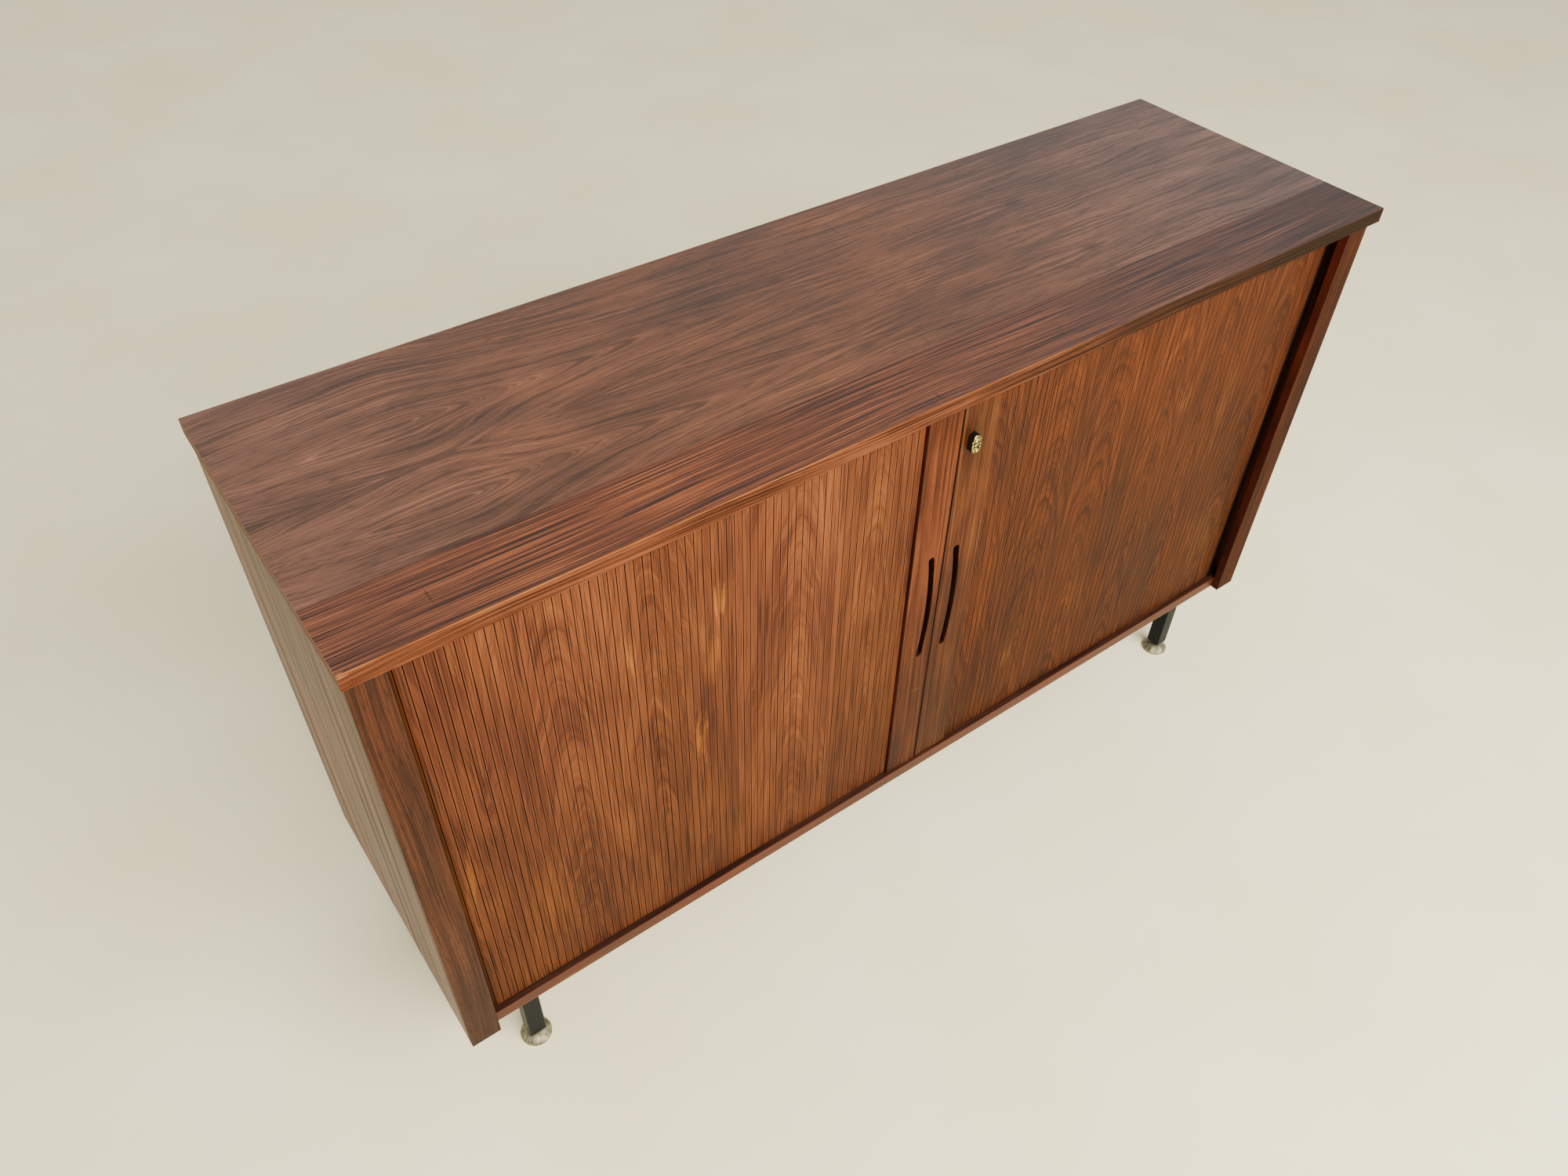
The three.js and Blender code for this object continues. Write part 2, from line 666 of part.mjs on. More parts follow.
function rightDoor() {
  const group = new THREE.Group();
  const lockHole = prismY(lockOutline(FIT), [railFront - CUT_OVER, slatBack + CUT_OVER]);
  leadRail(group, doors[1], lockHole);
  lock(group);
  curtain(group, doors[1]);
  return group;
}

function base() {
  const group = new THREE.Group();
  legs(group);
  crossRails(group);
  return group;
}

const cabinet = new THREE.Group();
cabinet.add(caseWork(), leftDoor(), rightDoor(), base());

export default cabinet;
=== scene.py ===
import math

import bpy
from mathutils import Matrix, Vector


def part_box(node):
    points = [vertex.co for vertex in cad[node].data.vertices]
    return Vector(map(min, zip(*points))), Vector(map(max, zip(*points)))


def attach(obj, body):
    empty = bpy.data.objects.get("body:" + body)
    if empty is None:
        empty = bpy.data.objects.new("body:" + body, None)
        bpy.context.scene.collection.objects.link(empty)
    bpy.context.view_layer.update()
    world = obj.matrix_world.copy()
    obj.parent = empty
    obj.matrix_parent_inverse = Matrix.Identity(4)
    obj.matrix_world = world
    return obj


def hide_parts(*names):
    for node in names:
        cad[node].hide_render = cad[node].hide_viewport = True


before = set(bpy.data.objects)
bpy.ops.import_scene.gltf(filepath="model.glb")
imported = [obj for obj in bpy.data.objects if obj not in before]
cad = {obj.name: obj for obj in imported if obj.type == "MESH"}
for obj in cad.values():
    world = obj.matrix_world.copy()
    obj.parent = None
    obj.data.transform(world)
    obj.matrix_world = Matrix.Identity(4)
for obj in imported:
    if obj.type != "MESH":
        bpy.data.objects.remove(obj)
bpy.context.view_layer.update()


# Legs
# Four straight legs of 25 mm square steel tube with softly rounded corners, painted satin black.
# Each one is welded to the cross rail of its side, and a plug in its foot takes the glide's stem.

MM = 0.001
tube_round = 2.5 * MM
tube_wall = 1.5 * MM
plug_recess = 1.5 * MM
stem_play = 0.3 * MM
stem_radius = 5 * MM


def linear(shade):
    """Turns an sRGB hex colour into the linear one that nodes take."""
    parts = [int(shade[i:i + 2], 16) / 255 for i in (1, 3, 5)]
    return [p / 12.92 if p <= 0.04045 else ((p + 0.055) / 1.055) ** 2.4 for p in parts] + [1]


def add(tree, kind, links=None, stops=None, **settings):
    """Adds a node with its settings; a link may be a node, an output or a plain value."""
    node = tree.nodes.new("ShaderNode" + kind)
    for name, value in settings.items():
        setattr(node, name, value)
    for number, (position, shade) in enumerate(stops or []):
        ramp = node.color_ramp.elements
        stop = ramp[number] if number < 2 else ramp.new(position)
        stop.position, stop.color = position, linear(shade)
    for socket, value in (links or {}).items():
        if isinstance(value, bpy.types.Node):
            value = next(out for out in value.outputs if out.enabled)
        if isinstance(value, bpy.types.NodeSocket):
            tree.links.new(value, node.inputs[socket])
        else:
            node.inputs[socket].default_value = value
    return node


def new_material(name):
    """An empty node material, with its place in millimetres as a vector node."""
    material = bpy.data.materials.new(name)
    material.use_nodes = True
    tree = material.node_tree
    tree.nodes.clear()
    place = add(tree, "TexCoord").outputs["Object"]
    return material, tree, add(tree, "Mapping", {"Vector": place, "Scale": (1 / MM,) * 3})


def coated(tree, links):
    """Ends a material with its surface shader."""
    surface = add(tree, "BsdfPrincipled", links)
    add(tree, "OutputMaterial", {"Surface": surface})


def block(name, low, high):
    """A cube primitive at its size and place, with its object at the origin."""
    centre = [(a + b) / 2 for a, b in zip(low, high)]
    bpy.ops.object.select_all(action="DESELECT")
    size = [b - a for a, b in zip(low, high)]
    bpy.ops.mesh.primitive_cube_add(size=1, location=centre, scale=size)
    bpy.ops.object.transform_apply(location=True, rotation=True, scale=True)
    piece = bpy.context.object
    piece.name = piece.data.name = name
    return piece


def pick(piece, element, test):
    """Opens edit mode on the piece with only those faces or edges selected that pass the test."""
    if bpy.context.mode != "OBJECT":
        bpy.ops.object.mode_set(mode="OBJECT")
    bpy.ops.object.select_all(action="DESELECT")
    piece.select_set(True)
    bpy.context.view_layer.objects.active = piece
    bpy.ops.object.mode_set(mode="EDIT")
    bpy.ops.mesh.select_mode(type=element)
    bpy.ops.mesh.select_all(action="DESELECT")
    bpy.ops.object.mode_set(mode="OBJECT")
    mesh = piece.data
    if element == "FACE":
        for face in mesh.polygons:
            face.select = bool(test(face.center, face.normal))
    else:
        for edge in mesh.edges:
            a, b = (mesh.vertices[v].co for v in edge.vertices)
            edge.select = bool(test(a, b))
    bpy.ops.object.mode_set(mode="EDIT")


def bevel(piece, width, steps, test, worn=-1):
    """Rounds the edges that pass the test; worn is the material slot of the new faces."""
    pick(piece, "EDGE", test)
    bpy.ops.mesh.bevel(offset=width, segments=steps, affect="EDGES", material=worn)
    bpy.ops.object.mode_set(mode="OBJECT")


def along(axis):
    """A test for edges that run along one axis."""
    return lambda a, b: abs((b - a).normalized()[axis]) > 0.99


def cut_away(piece, cutter):
    """Takes the cutter's shape out of the piece."""
    bpy.ops.object.select_all(action="DESELECT")
    bpy.context.view_layer.objects.active = piece
    piece.select_set(True)
    hole = piece.modifiers.new("hole", "BOOLEAN")
    hole.operation, hole.solver, hole.object = "DIFFERENCE", "EXACT", cutter
    bpy.ops.object.modifier_apply(modifier=hole.name)
    bpy.data.objects.remove(cutter)


def bore(piece, centre, radius, depth):
    """Drills a round upright hole through the given centre."""
    bpy.ops.object.select_all(action="DESELECT")
    bpy.ops.mesh.primitive_cylinder_add(vertices=32, radius=radius, depth=depth, location=centre)
    cut_away(piece, bpy.context.object)


def copy_to(piece, name, shift):
    """A copy with its own mesh, moved by the shift."""
    twin = piece.copy()
    twin.data = piece.data.copy()
    twin.name = twin.data.name = name
    bpy.context.scene.collection.objects.link(twin)
    bpy.ops.object.select_all(action="DESELECT")
    bpy.context.view_layer.objects.active = twin
    twin.select_set(True)
    bpy.ops.transform.translate(value=shift)
    bpy.ops.object.transform_apply(location=True, rotation=True, scale=True)
    return twin


def fit(piece, node, body, slot, *materials):
    """Puts the piece in the place of its CAD node, on its body, with its materials."""
    for number, material in enumerate(materials):
        if number < len(piece.data.materials):
            piece.data.materials[number] = material
        else:
            piece.data.materials.append(material)
    if node:
        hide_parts(node)
    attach(piece, body)


# Stove enamel on mild steel tube: deep black with a soft sheen, a faint orange peel about
# 3 mm across, and clouds of about 40 mm where settled dust makes it greyer and duller.
black_enamel, tree, place = new_material("satin_black_stove_enamel")
dust = add(tree, "TexNoise", {"Vector": place, "Scale": 1 / 40, "Detail": 4.0})
peel = add(tree, "TexNoise", {"Vector": place, "Scale": 1 / 3, "Detail": 1.0})
film = add(tree, "ValToRGB", {"Fac": dust}, [(0.35, "#04080b"), (0.7, "#0a1014")])
gloss = add(tree, "MapRange", {"Value": dust, 1: 0.3, 2: 0.7, 3: 0.32, 4: 0.46})
relief = add(tree, "Bump", {"Height": peel, "Strength": 0.08, "Distance": 0.2 * MM})
coated(tree, {"Base Color": film, "Roughness": gloss, "Normal": relief,
              "Specular IOR Level": 0.07})

leg_nodes = [f"{side}_{end}_leg" for side in ("left", "right") for end in ("front", "back")]
low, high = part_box(leg_nodes[0])
leg = block("tube_leg", low, high)
bevel(leg, tube_round, 4, along(2))
pick(leg, "FACE", lambda centre, normal: normal.z < -0.9)
bpy.ops.mesh.inset(thickness=tube_wall, depth=-plug_recess)
bpy.ops.object.mode_set(mode="OBJECT")
stem_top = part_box("left_front_glide")[1].z
leg_axis = (low + high) / 2
stem_hole = stem_top + stem_play - low.z
bore(leg, (leg_axis.x, leg_axis.y, low.z), stem_radius + stem_play, 2 * stem_hole)
for node in leg_nodes:
    twin = copy_to(leg, "tube_" + node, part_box(node)[0] - low)
    fit(twin, node, "case", "leg_paint", black_enamel)
bpy.data.objects.remove(leg)


# Cross rails
# The same square tube joins the front and back leg of each side under the bottom board.
# It is welded between the legs, with a small bead round each end, and drilled for two screws.

bead_size = 2.2 * MM
bead_round = 0.9 * bead_size
screw_play = 0.3 * MM
shank_radius = 2 * MM

low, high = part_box("left_cross_rail")
rail = block("tube_rail", low, high)
bevel(rail, tube_round, 4, along(1))
for screw in ("left_rail_screw_1", "left_rail_screw_2"):
    screw_low, screw_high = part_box(screw)
    axis = (screw_low + screw_high) / 2
    bore(rail, (axis.x, axis.y, low.z), shank_radius + screw_play, 3 * (high.z - low.z))
for name, end, inward in (("front", low.y, 1), ("back", high.y, -1)):
    root, toe = sorted((end, end + inward * bead_size))
    bead = block("weld_bead", (low.x, root, low.z - bead_size), (high.x, toe, low.z))
    bevel(bead, bead_round, 3, lambda a, b: max(a.z, b.z) < low.z - bead_size / 2
          and abs((a.y + b.y) / 2 - end) > bead_size / 2)
    bead.data.materials.append(black_enamel)
    for side in ("left", "right"):
        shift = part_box(f"{side}_cross_rail")[0].x - low.x
        twin = copy_to(bead, f"{side}_weld_{name}", (shift, 0, 0))
        fit(twin, None, "case", "leg_paint", black_enamel)
    bpy.data.objects.remove(bead)
for side in ("left", "right"):
    node = f"{side}_cross_rail"
    twin = copy_to(rail, f"{side}_tube_rail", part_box(node)[0] - low)
    fit(twin, node, "case", "leg_paint", black_enamel)
bpy.data.objects.remove(rail)


# Screws
# Zinc-plated slotted screws go up through each cross rail into the bottom board.
# Their shallow domed heads show only from below.

slot_width = 1.2 * MM
slot_depth = 1.3 * MM
head_height = 3 * MM
tip_radius = 0.2 * MM
smooth_below = math.radians(32)


def turned(name, axis, profile, sides=48):
    """Builds a lathe form upwards from a circle, one ring for each (radius, height) step."""
    x, y = axis
    radius, z = profile[0]
    bpy.ops.object.select_all(action="DESELECT")
    bpy.ops.mesh.primitive_circle_add(
        vertices=sides, radius=radius, fill_type="NGON", location=(x, y, z))
    bpy.ops.object.transform_apply(location=True, rotation=True, scale=True)
    piece = bpy.context.object
    piece.name = piece.data.name = name
    bpy.ops.object.mode_set(mode="EDIT")
    bpy.ops.mesh.select_mode(type="FACE")
    bpy.ops.mesh.select_all(action="SELECT")
    for wider, higher in profile[1:]:
        bpy.ops.mesh.extrude_region_move(TRANSFORM_OT_translate={"value": (0, 0, higher - z)})
        share = wider / radius
        bpy.ops.transform.resize(value=(share, share, 1), center_override=(x, y, higher))
        radius, z = wider, higher
    bpy.ops.mesh.select_all(action="SELECT")
    bpy.ops.mesh.normals_make_consistent(inside=False)
    bpy.ops.object.mode_set(mode="OBJECT")
    bpy.ops.object.shade_smooth_by_angle(angle=smooth_below)
    return piece


# Bright zinc plating on steel: a cool grey metal, a little cloudy where it has dulled.
zinc, tree, place = new_material("bright_zinc_plated_steel")
cloud = add(tree, "TexNoise", {"Vector": place, "Scale": 1 / 6, "Detail": 3.0})
plate = add(tree, "ValToRGB", {"Fac": cloud}, [(0.35, "#8d8f90"), (0.65, "#b4b6b5")])
gloss = add(tree, "MapRange", {"Value": cloud, 1: 0.3, 2: 0.7, 3: 0.26, 4: 0.45})
coated(tree, {"Base Color": plate, "Metallic": 1.0, "Roughness": gloss})

low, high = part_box("left_rail_screw_1")
head_radius = (high.x - low.x) / 2
axis = (low + high) / 2
screw = turned("rail_screw", (axis.x, axis.y), [
    (head_radius * 0.55, low.z), (head_radius * 0.85, low.z + head_height * 0.25),
    (head_radius, low.z + head_height * 0.65), (head_radius, low.z + head_height),
    (shank_radius, low.z + head_height), (shank_radius, high.z - shank_radius),
    (tip_radius, high.z)])
slot_half = Vector((2 * head_radius, slot_width / 2, slot_depth))
slot_middle = Vector((axis.x, axis.y, low.z))
cut_away(screw, block("slot", slot_middle - slot_half, slot_middle + slot_half))
for side in ("left", "right"):
    for number in (1, 2):
        node = f"{side}_rail_screw_{number}"
        twin = copy_to(screw, f"{side}_slotted_screw_{number}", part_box(node)[0] - low)
        fit(twin, node, "case", "fitting_steel", zinc)
bpy.data.objects.remove(screw)


# Glides
# Turned feet of nickel-plated brass: a wide disc with a domed top on a threaded stem.
# The stem screws into the plug of the leg, so each foot can be set to the floor.

thread_pitch = 1.5 * MM
thread_depth = 0.6 * MM
thread_start = 0.4 * MM
thread_hidden = 2 * MM
stem_chamfer = 1 * MM
neck = 8 * MM
rim_start = 3 * MM
rim_end = 4 * MM
dome_top = 12 * MM
dome_steps = 7

low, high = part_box("left_front_glide")
disc = (high.x - low.x) / 2
leg_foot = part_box("left_front_leg")[0].z
profile = [(disc - 1.5 * MM, low.z), (disc, low.z + 0.8 * MM), (disc, rim_start),
           (disc - 0.8 * MM, rim_end)]
for step in range(1, dome_steps):
    share = step / dome_steps
    rise = (dome_top - rim_end) * math.sin(share * math.pi / 2)
    profile.append((disc - (disc - neck) * share, rim_end + rise))
profile += [(neck, dome_top), (stem_radius, dome_top)]
z = dome_top + thread_start
while z < leg_foot + thread_hidden:
    profile += [(stem_radius, z), (stem_radius - thread_depth, z + thread_pitch / 2)]
    z += thread_pitch
profile += [(stem_radius, z), (stem_radius, high.z - stem_chamfer),
            (stem_radius - stem_chamfer, high.z)]
axis = (low + high) / 2
glide = turned("threaded_glide", (axis.x, axis.y), profile, sides=64)

# Nickel plate worn to a warm yellowish grey, turned on a lathe: fine marks run out from the
# middle. The marks are drawn about 2 mm wide at the rim, wider than real ones, so they show.
nickel, tree, place = new_material("worn_nickel_plated_brass")
middle = add(tree, "Mapping", {"Vector": add(tree, "VectorMath", {0: place}, operation="ABSOLUTE"),
                               "Location": (-abs(axis.x) / MM, -abs(axis.y) / MM, 0)})
parts = add(tree, "SeparateXYZ", {0: middle})
angle = add(tree, "Math", {0: parts.outputs[1], 1: parts.outputs[0]}, operation="ARCTAN2")
marks = add(tree, "TexNoise", {"W": angle, "Scale": 11.0, "Detail": 3.0}, noise_dimensions="1D")
patina = add(tree, "TexNoise", {"Vector": place, "Scale": 1 / 9, "Detail": 4.0})
blend = add(tree, "Math", {0: marks, 1: patina}, operation="ADD")
plate = add(tree, "ValToRGB", {"Fac": add(tree, "Math", {0: blend, 1: 0.5}, operation="MULTIPLY")},
            [(0.36, "#514c3a"), (0.5, "#867e63"), (0.64, "#b4ac88")])
gloss = add(tree, "MapRange", {"Value": marks, 1: 0.3, 2: 0.7, 3: 0.5, 4: 0.7})
coated(tree, {"Base Color": plate, "Metallic": 1.0, "Roughness": gloss})

for side in ("left", "right"):
    for end in ("front", "back"):
        node = f"{side}_{end}_glide"
        twin = copy_to(glide, "turned_" + node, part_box(node)[0] - low)
        fit(twin, node, node, "glide_metal", nickel)
bpy.data.objects.remove(glide)


# Bottom board
# A 20 mm board veneered in rosewood, with a groove in its top face that guides the curtains.
# A solid rosewood lipping covers its front edge, below the doors, and its arris is rounded.

lipping_round = 1 * MM
touch = 0.1 * MM  # a corner this near to a side of its piece lies on it
plain_shades = ("#2a130a", "#4c2613", "#6d3b1f", "#8a5230", "#b07848")


def from_cad(node, name):
    """A merged copy of a CAD node, with its flat faces whole again, to be worked on."""
    piece = cad[node].copy()
    piece.data = cad[node].data.copy()
    piece.name = piece.data.name = name
    piece.parent = None
    for key in list(piece.keys()):
        del piece[key]
    bpy.context.scene.collection.objects.link(piece)
    piece.data.materials.clear()
    pick(piece, "FACE", lambda centre, normal: True)
    bpy.ops.mesh.select_mode(type="VERT")
    bpy.ops.mesh.select_all(action="SELECT")
    bpy.ops.mesh.remove_doubles(threshold=0.002 * MM)
    bpy.ops.mesh.dissolve_limited(angle_limit=math.radians(0.5))
    bpy.ops.mesh.customdata_custom_splitnormals_clear()
    bpy.ops.object.mode_set(mode="OBJECT")
    bpy.ops.object.shade_flat()
    return piece


def paint(piece, slot, test):
    """Gives the faces that pass the test another of the piece's material slots."""
    for face in piece.data.polygons:
        if test(face.center, face.normal):
            face.material_index = slot


def straight(slope):
    """Rings of a quarter-cut leaf: they run along the grain and drift across it by the slope."""
    def figure(tree, grain, across):
        drift = add(tree, "TexNoise", {
            "Vector": add(tree, "Mapping", {
                "Vector": add(tree, "CombineXYZ", {0: across, 1: grain}),
                "Scale": (1 / 240, 1 / 560, 1)}),
            "Scale": 1.0, "Detail": 1.0})
        return add(tree, "Math", {0: drift, 1: slope, 2: across}, operation="MULTIPLY_ADD")
    return figure


def rosewood(name, shades, axes, figure, sheen=(0.4, 0.52), shine=0.5, ring=9.0, line=3.2,
             depths=(0.2, 0.4, 0.25), hair=0.3, vein=0.3, pore=0.4, pore_start=0.56,
             pore_length=24.0, pitch=None, seams=(0.3, 1.0), rubbed=(), stained=(), light_and_tone_ramps=(),
             bump=0.14, seed=0.0):
    """Oiled rosewood: rings by the figure, thin dark lines, veins, open pores, clouds of tone.

    shades go from the dark veins to the pale wood, with the rubbed tone last. axes say which way
    the grain, its width and its depth run. sheen is the least and most roughness, and shine the
    strength of the oil's reflection: a pair makes the dark rings duller than the pale ones. ring
    and line are the widths of the broad rings and of the fine lines in them. depths are the
    strengths of rings, lines and clouds, and hair, vein and pore those of thin dark lines, dark
    veins and pores. A higher pore_start leaves fewer pores. pitch is (edge, width) of the slats
    that it was sawn into, and seams the least and most dirt in their joints. rubbed holds worn
    places and stained dark ones, as (across, along, half width, half length, strength). The ramps
    darken or pale the wood along one axis, some as painted light and shade and some as the wood's
    own tone, each as (axis, start, end, tone and colour left at the end). Lengths are in
    millimetres."""
    material, tree, place = new_material(name)
    parts = add(tree, "SeparateXYZ", {0: place})
    grain, across, depth = (parts.outputs[axis] for axis in axes)
    if pitch:
        # The slats slip along the grain, each by its own share of this length.
        slip = 6.0
        edge, width = pitch
        count = add(tree, "Math", {0: add(tree, "Math", {0: across, 1: edge}, operation="SUBTRACT"),
                                   1: width}, operation="DIVIDE")
        slat, joint = (
            add(tree, "TexWhiteNoise", {"W": add(tree, "Math", {0: count}, operation=rounding)},
                noise_dimensions="1D")
            for rounding in ("FLOOR", "ROUND"))
        grain = add(tree, "Math", {0: slat, 1: slip, 2: grain}, operation="MULTIPLY_ADD")
    rings = add(tree, "CombineXYZ", {0: figure(tree, grain, across), 1: grain, 2: seed})
    flat = add(tree, "CombineXYZ", {0: across, 1: grain, 2: depth})
    # Each pattern has its field, its size across and along the grain, a shift and its detail.
    broad, fine, dark, lines, cloud, pits, streak = (
        add(tree, "TexNoise", {
            "Vector": add(tree, "Mapping", {
                "Vector": field, "Scale": scale, "Location": (shift, 0, 0)}),
            "Scale": 1.0, "Detail": detail, "Roughness": 0.6})
        for field, scale, shift, detail in (
            (rings, (1 / ring, 1 / 900, 1), 0, 3.0),
            (rings, (1 / line, 1 / 230, 1), 0, 2.0),
            (rings, (0.6 / ring, 1 / 1300, 1), 31, 2.0),
            (rings, (0.3 / ring, 1 / 1700, 1), 67, 3.0),
            (flat, (1 / 80, 1 / 280, 1 / 80), seed, 3.0),
            (flat, (1 / 1.3, 1 / pore_length, 1 / 1.3), 0, 1.0),
            (flat, (1 / 3.5, 1 / 60, 1 / 3.5), seed, 3.0)))
    tone = 0.5 - sum(depths) / 2
    for layer, strength in zip((broad, fine, cloud), depths):
        tone = add(tree, "Math", {0: layer, 1: strength, 2: tone}, operation="MULTIPLY_ADD")
    colour = add(tree, "ValToRGB", {"Fac": tone}, [
        (0.34, shades[0]), (0.45, shades[1]), (0.54, shades[2]), (0.66, shades[3])])
    # The thin lines are level lines of their pattern, this many from its 0 to its 1.
    line_count = 8.0
    stepped = add(tree, "Math", {0: lines, 1: line_count}, operation="MULTIPLY")
    from_line = add(tree, "Math", {0: stepped, 1: 0.5}, operation="PINGPONG")
    # A layer has its value, where that starts and ends, its cover at both, and its shade.
    pore_edge = 0.14
    layers = [(from_line, 0.0, 0.1, hair, 0.0, shades[0]), (dark, 0.58, 0.66, 0.0, vein, shades[0]),
              (pits, pore_start, pore_start + pore_edge, 0.0, pore, shades[0])]
    # Streaks along the grain break up a mark's outline, by this many of its half sizes.
    raggedness = 3.0
    marks = [(mark, shades[4], -0.95, -1.6) for mark in rubbed]
    marks += [(mark, shades[0], -0.5, -1.5) for mark in stained]
    for (x, z, half_width, half_length, strength), shade, start, end in marks:
        spot = add(tree, "Mapping", {
            "Vector": flat, "Location": (-x / half_width, -z / half_length, 0),
            "Scale": (1 / half_width, 1 / half_length, 0)})
        away = add(tree, "VectorMath", {0: spot}, operation="LENGTH").outputs["Value"]
        broken = add(tree, "Math", {0: streak, 1: -raggedness, 2: away}, operation="MULTIPLY_ADD")
        layers.append((broken, start, end, 0.0, strength, shade))
    if pitch:
        # A slat is paler along its arrises, rubbed and with a painted highlight, this far from the
        # dark joint.
        arris_line = 1.2
        nearest = add(tree, "Math", {0: count, 1: 0.5}, operation="PINGPONG")
        from_joint = add(tree, "Math", {0: nearest, 1: width}, operation="MULTIPLY")
        from_arris = add(tree, "Math", {0: from_joint, 1: arris_line}, operation="SUBTRACT")
        arris = add(tree, "Math", {0: from_arris}, operation="ABSOLUTE")
        layers.append((arris, 0.2, 0.7, 0.22, 0.0, shades[3]))
        grime = add(tree, "MapRange", {"Value": joint, 3: seams[0], 4: seams[1]})
        layers.append((from_joint, 0.4, 0.85, grime, 0.0, shades[0]))
    for layer, start, end, first, last, shade in layers:
        cover = add(tree, "MapRange", {"Value": layer, 1: start, 2: end, 3: first, 4: last})
        colour = add(tree, "Mix", {0: cover, 6: colour, 7: linear(shade)}, data_type="RGBA")
    value = add(tree, "MapRange", {"Value": slat, 3: 0.93, 4: 1.07}) if pitch else 1.0
    # Each ramp darkens or pales the wood along one axis: some are painted light and shade, some the
    # wood's own tone.
    for axis, start, end, tone_left, colour_left in light_and_tone_ramps:
        ramped = add(tree, "MapRange", {"Value": parts.outputs[axis], 1: start, 2: end},
                   interpolation_type="SMOOTHSTEP")
        share = add(tree, "MapRange", {"Value": ramped, 3: 1.0, 4: tone_left})
        value = add(tree, "Math", {0: value, 1: share}, operation="MULTIPLY")
        strong = add(tree, "MapRange", {"Value": ramped, 3: 1.0, 4: colour_left})
        colour = add(tree, "HueSaturation", {"Color": colour, "Saturation": strong})
    if pitch or light_and_tone_ramps:
        colour = add(tree, "HueSaturation", {"Color": colour, "Value": value})
    gloss = add(tree, "MapRange", {"Value": cloud, 1: 0.3, 2: 0.7, 3: sheen[0], 4: sheen[1]})
    if isinstance(shine, tuple):
        shine = add(tree, "MapRange", {"Value": tone, 1: 0.38, 2: 0.62, 3: shine[0], 4: shine[1]})
    relief = add(tree, "Bump", {"Height": fine, "Strength": bump, "Distance": 0.25 * MM})
    coated(tree, {"Base Color": colour, "Roughness": gloss, "Normal": relief, "IOR": 1.48,
                  "Specular IOR Level": shine})
    return material


# The board's veneer is a quiet dark brown, and painted shade darkens it under and in front of
# the slats. Its lipping is solid wood with narrower and redder rings.
board_veneer = rosewood(
    "oiled_rosewood_board", ("#1a0c07", "#341c12", "#4a2a1b", "#623e27", "#885e38"), "XYZ",
    straight(60), shine=0.1, light_and_tone_ramps=((1, -184, -191, 0.5, 1.0),), seed=3.0)
lipping_wood = rosewood(
    "oiled_rosewood_lipping", ("#180603", "#351205", "#4c1e0a", "#622c13", "#724222"), "XZY",
    straight(30), shine=0.2, ring=5.0, line=2.0, seed=5.0)
# The arris of an oiled edge is rubbed through to paler wood by hands and dusters, and it carries
# a painted highlight that fades out towards the right.
rubbed_and_highlit_arris = rosewood(
    "rubbed_and_highlit_rosewood_arris", ("#4e250c", "#79411a", "#935a29", "#ac753e", "#bc884d"), "XZY",
    straight(20), sheen=(0.7, 0.8), shine=0.04, ring=4.0, light_and_tone_ramps=((0, -50, 300, 0.15, 0.9),),
    seed=8.0)

board = from_cad("bottom_board", "veneered_bottom_board")
low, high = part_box("bottom_board")
for material in (board_veneer, lipping_wood, rubbed_and_highlit_arris):
    board.data.materials.append(material)
paint(board, 1, lambda centre, normal: normal.y < -0.9 and centre.y < low.y + touch)
bevel(board, lipping_round, 2,
      lambda a, b: max(a.y, b.y) < low.y + touch and abs(a.z - b.z) < touch, 1)
fit(board, "bottom_board", "case", "board_veneer", board_veneer, lipping_wood, rubbed_and_highlit_arris)


# Sides and stiles
# The outer sides are 14 mm boards veneered with upright grain. A solid rosewood stile, 40 mm
# wide, is glued across the front edge of each and hides the gap where the curtain turns in.

stile_round = 1 * MM
side_round = 0.6 * MM

# Upright brown figure. The dark rings are dull and the pale ones keep their oil, so that the
# figure still shows where the panel is seen at a glance and mirrors the floor.
side_veneer = rosewood(
    "oiled_rosewood_side_veneer", ("#28130d", "#4a261a", "#643524", "#7e4531", "#a26548"), "ZYX",
    straight(60), sheen=(0.4, 0.5), shine=(0.02, 0.33), ring=16.0, line=2.4,
    depths=(0.7, 0.3, 0.25), hair=0.35, vein=0.5, pore=0.6, bump=0.3, seed=11.0)
# The stiles are solid wood with close upright rings, and painted shade darkens both downwards.
# The left one is browner, the right one is redder and duller and painted darker as shade.
stile_woods = {
    "left": rosewood(
        "solid_rosewood_left_stile", ("#150905", "#2e160c", "#452413", "#5a321d", "#815733"),
        "ZXY", straight(34), shine=0.08, ring=7.0, line=2.0, pore=0.6,
        light_and_tone_ramps=((2, 520, 180, 0.66, 0.9),), seed=14.0),
    "right": rosewood(
        "solid_rosewood_right_stile", ("#130603", "#2a1108", "#401e0e", "#542a16", "#784a29"),
        "ZXY", straight(34), shine=0.04, sheen=(0.55, 0.65), ring=7.0, line=2.0, pore=0.6,
        light_and_tone_ramps=((2, 860, 300, 0.8, 1.0),), seed=18.0),
}
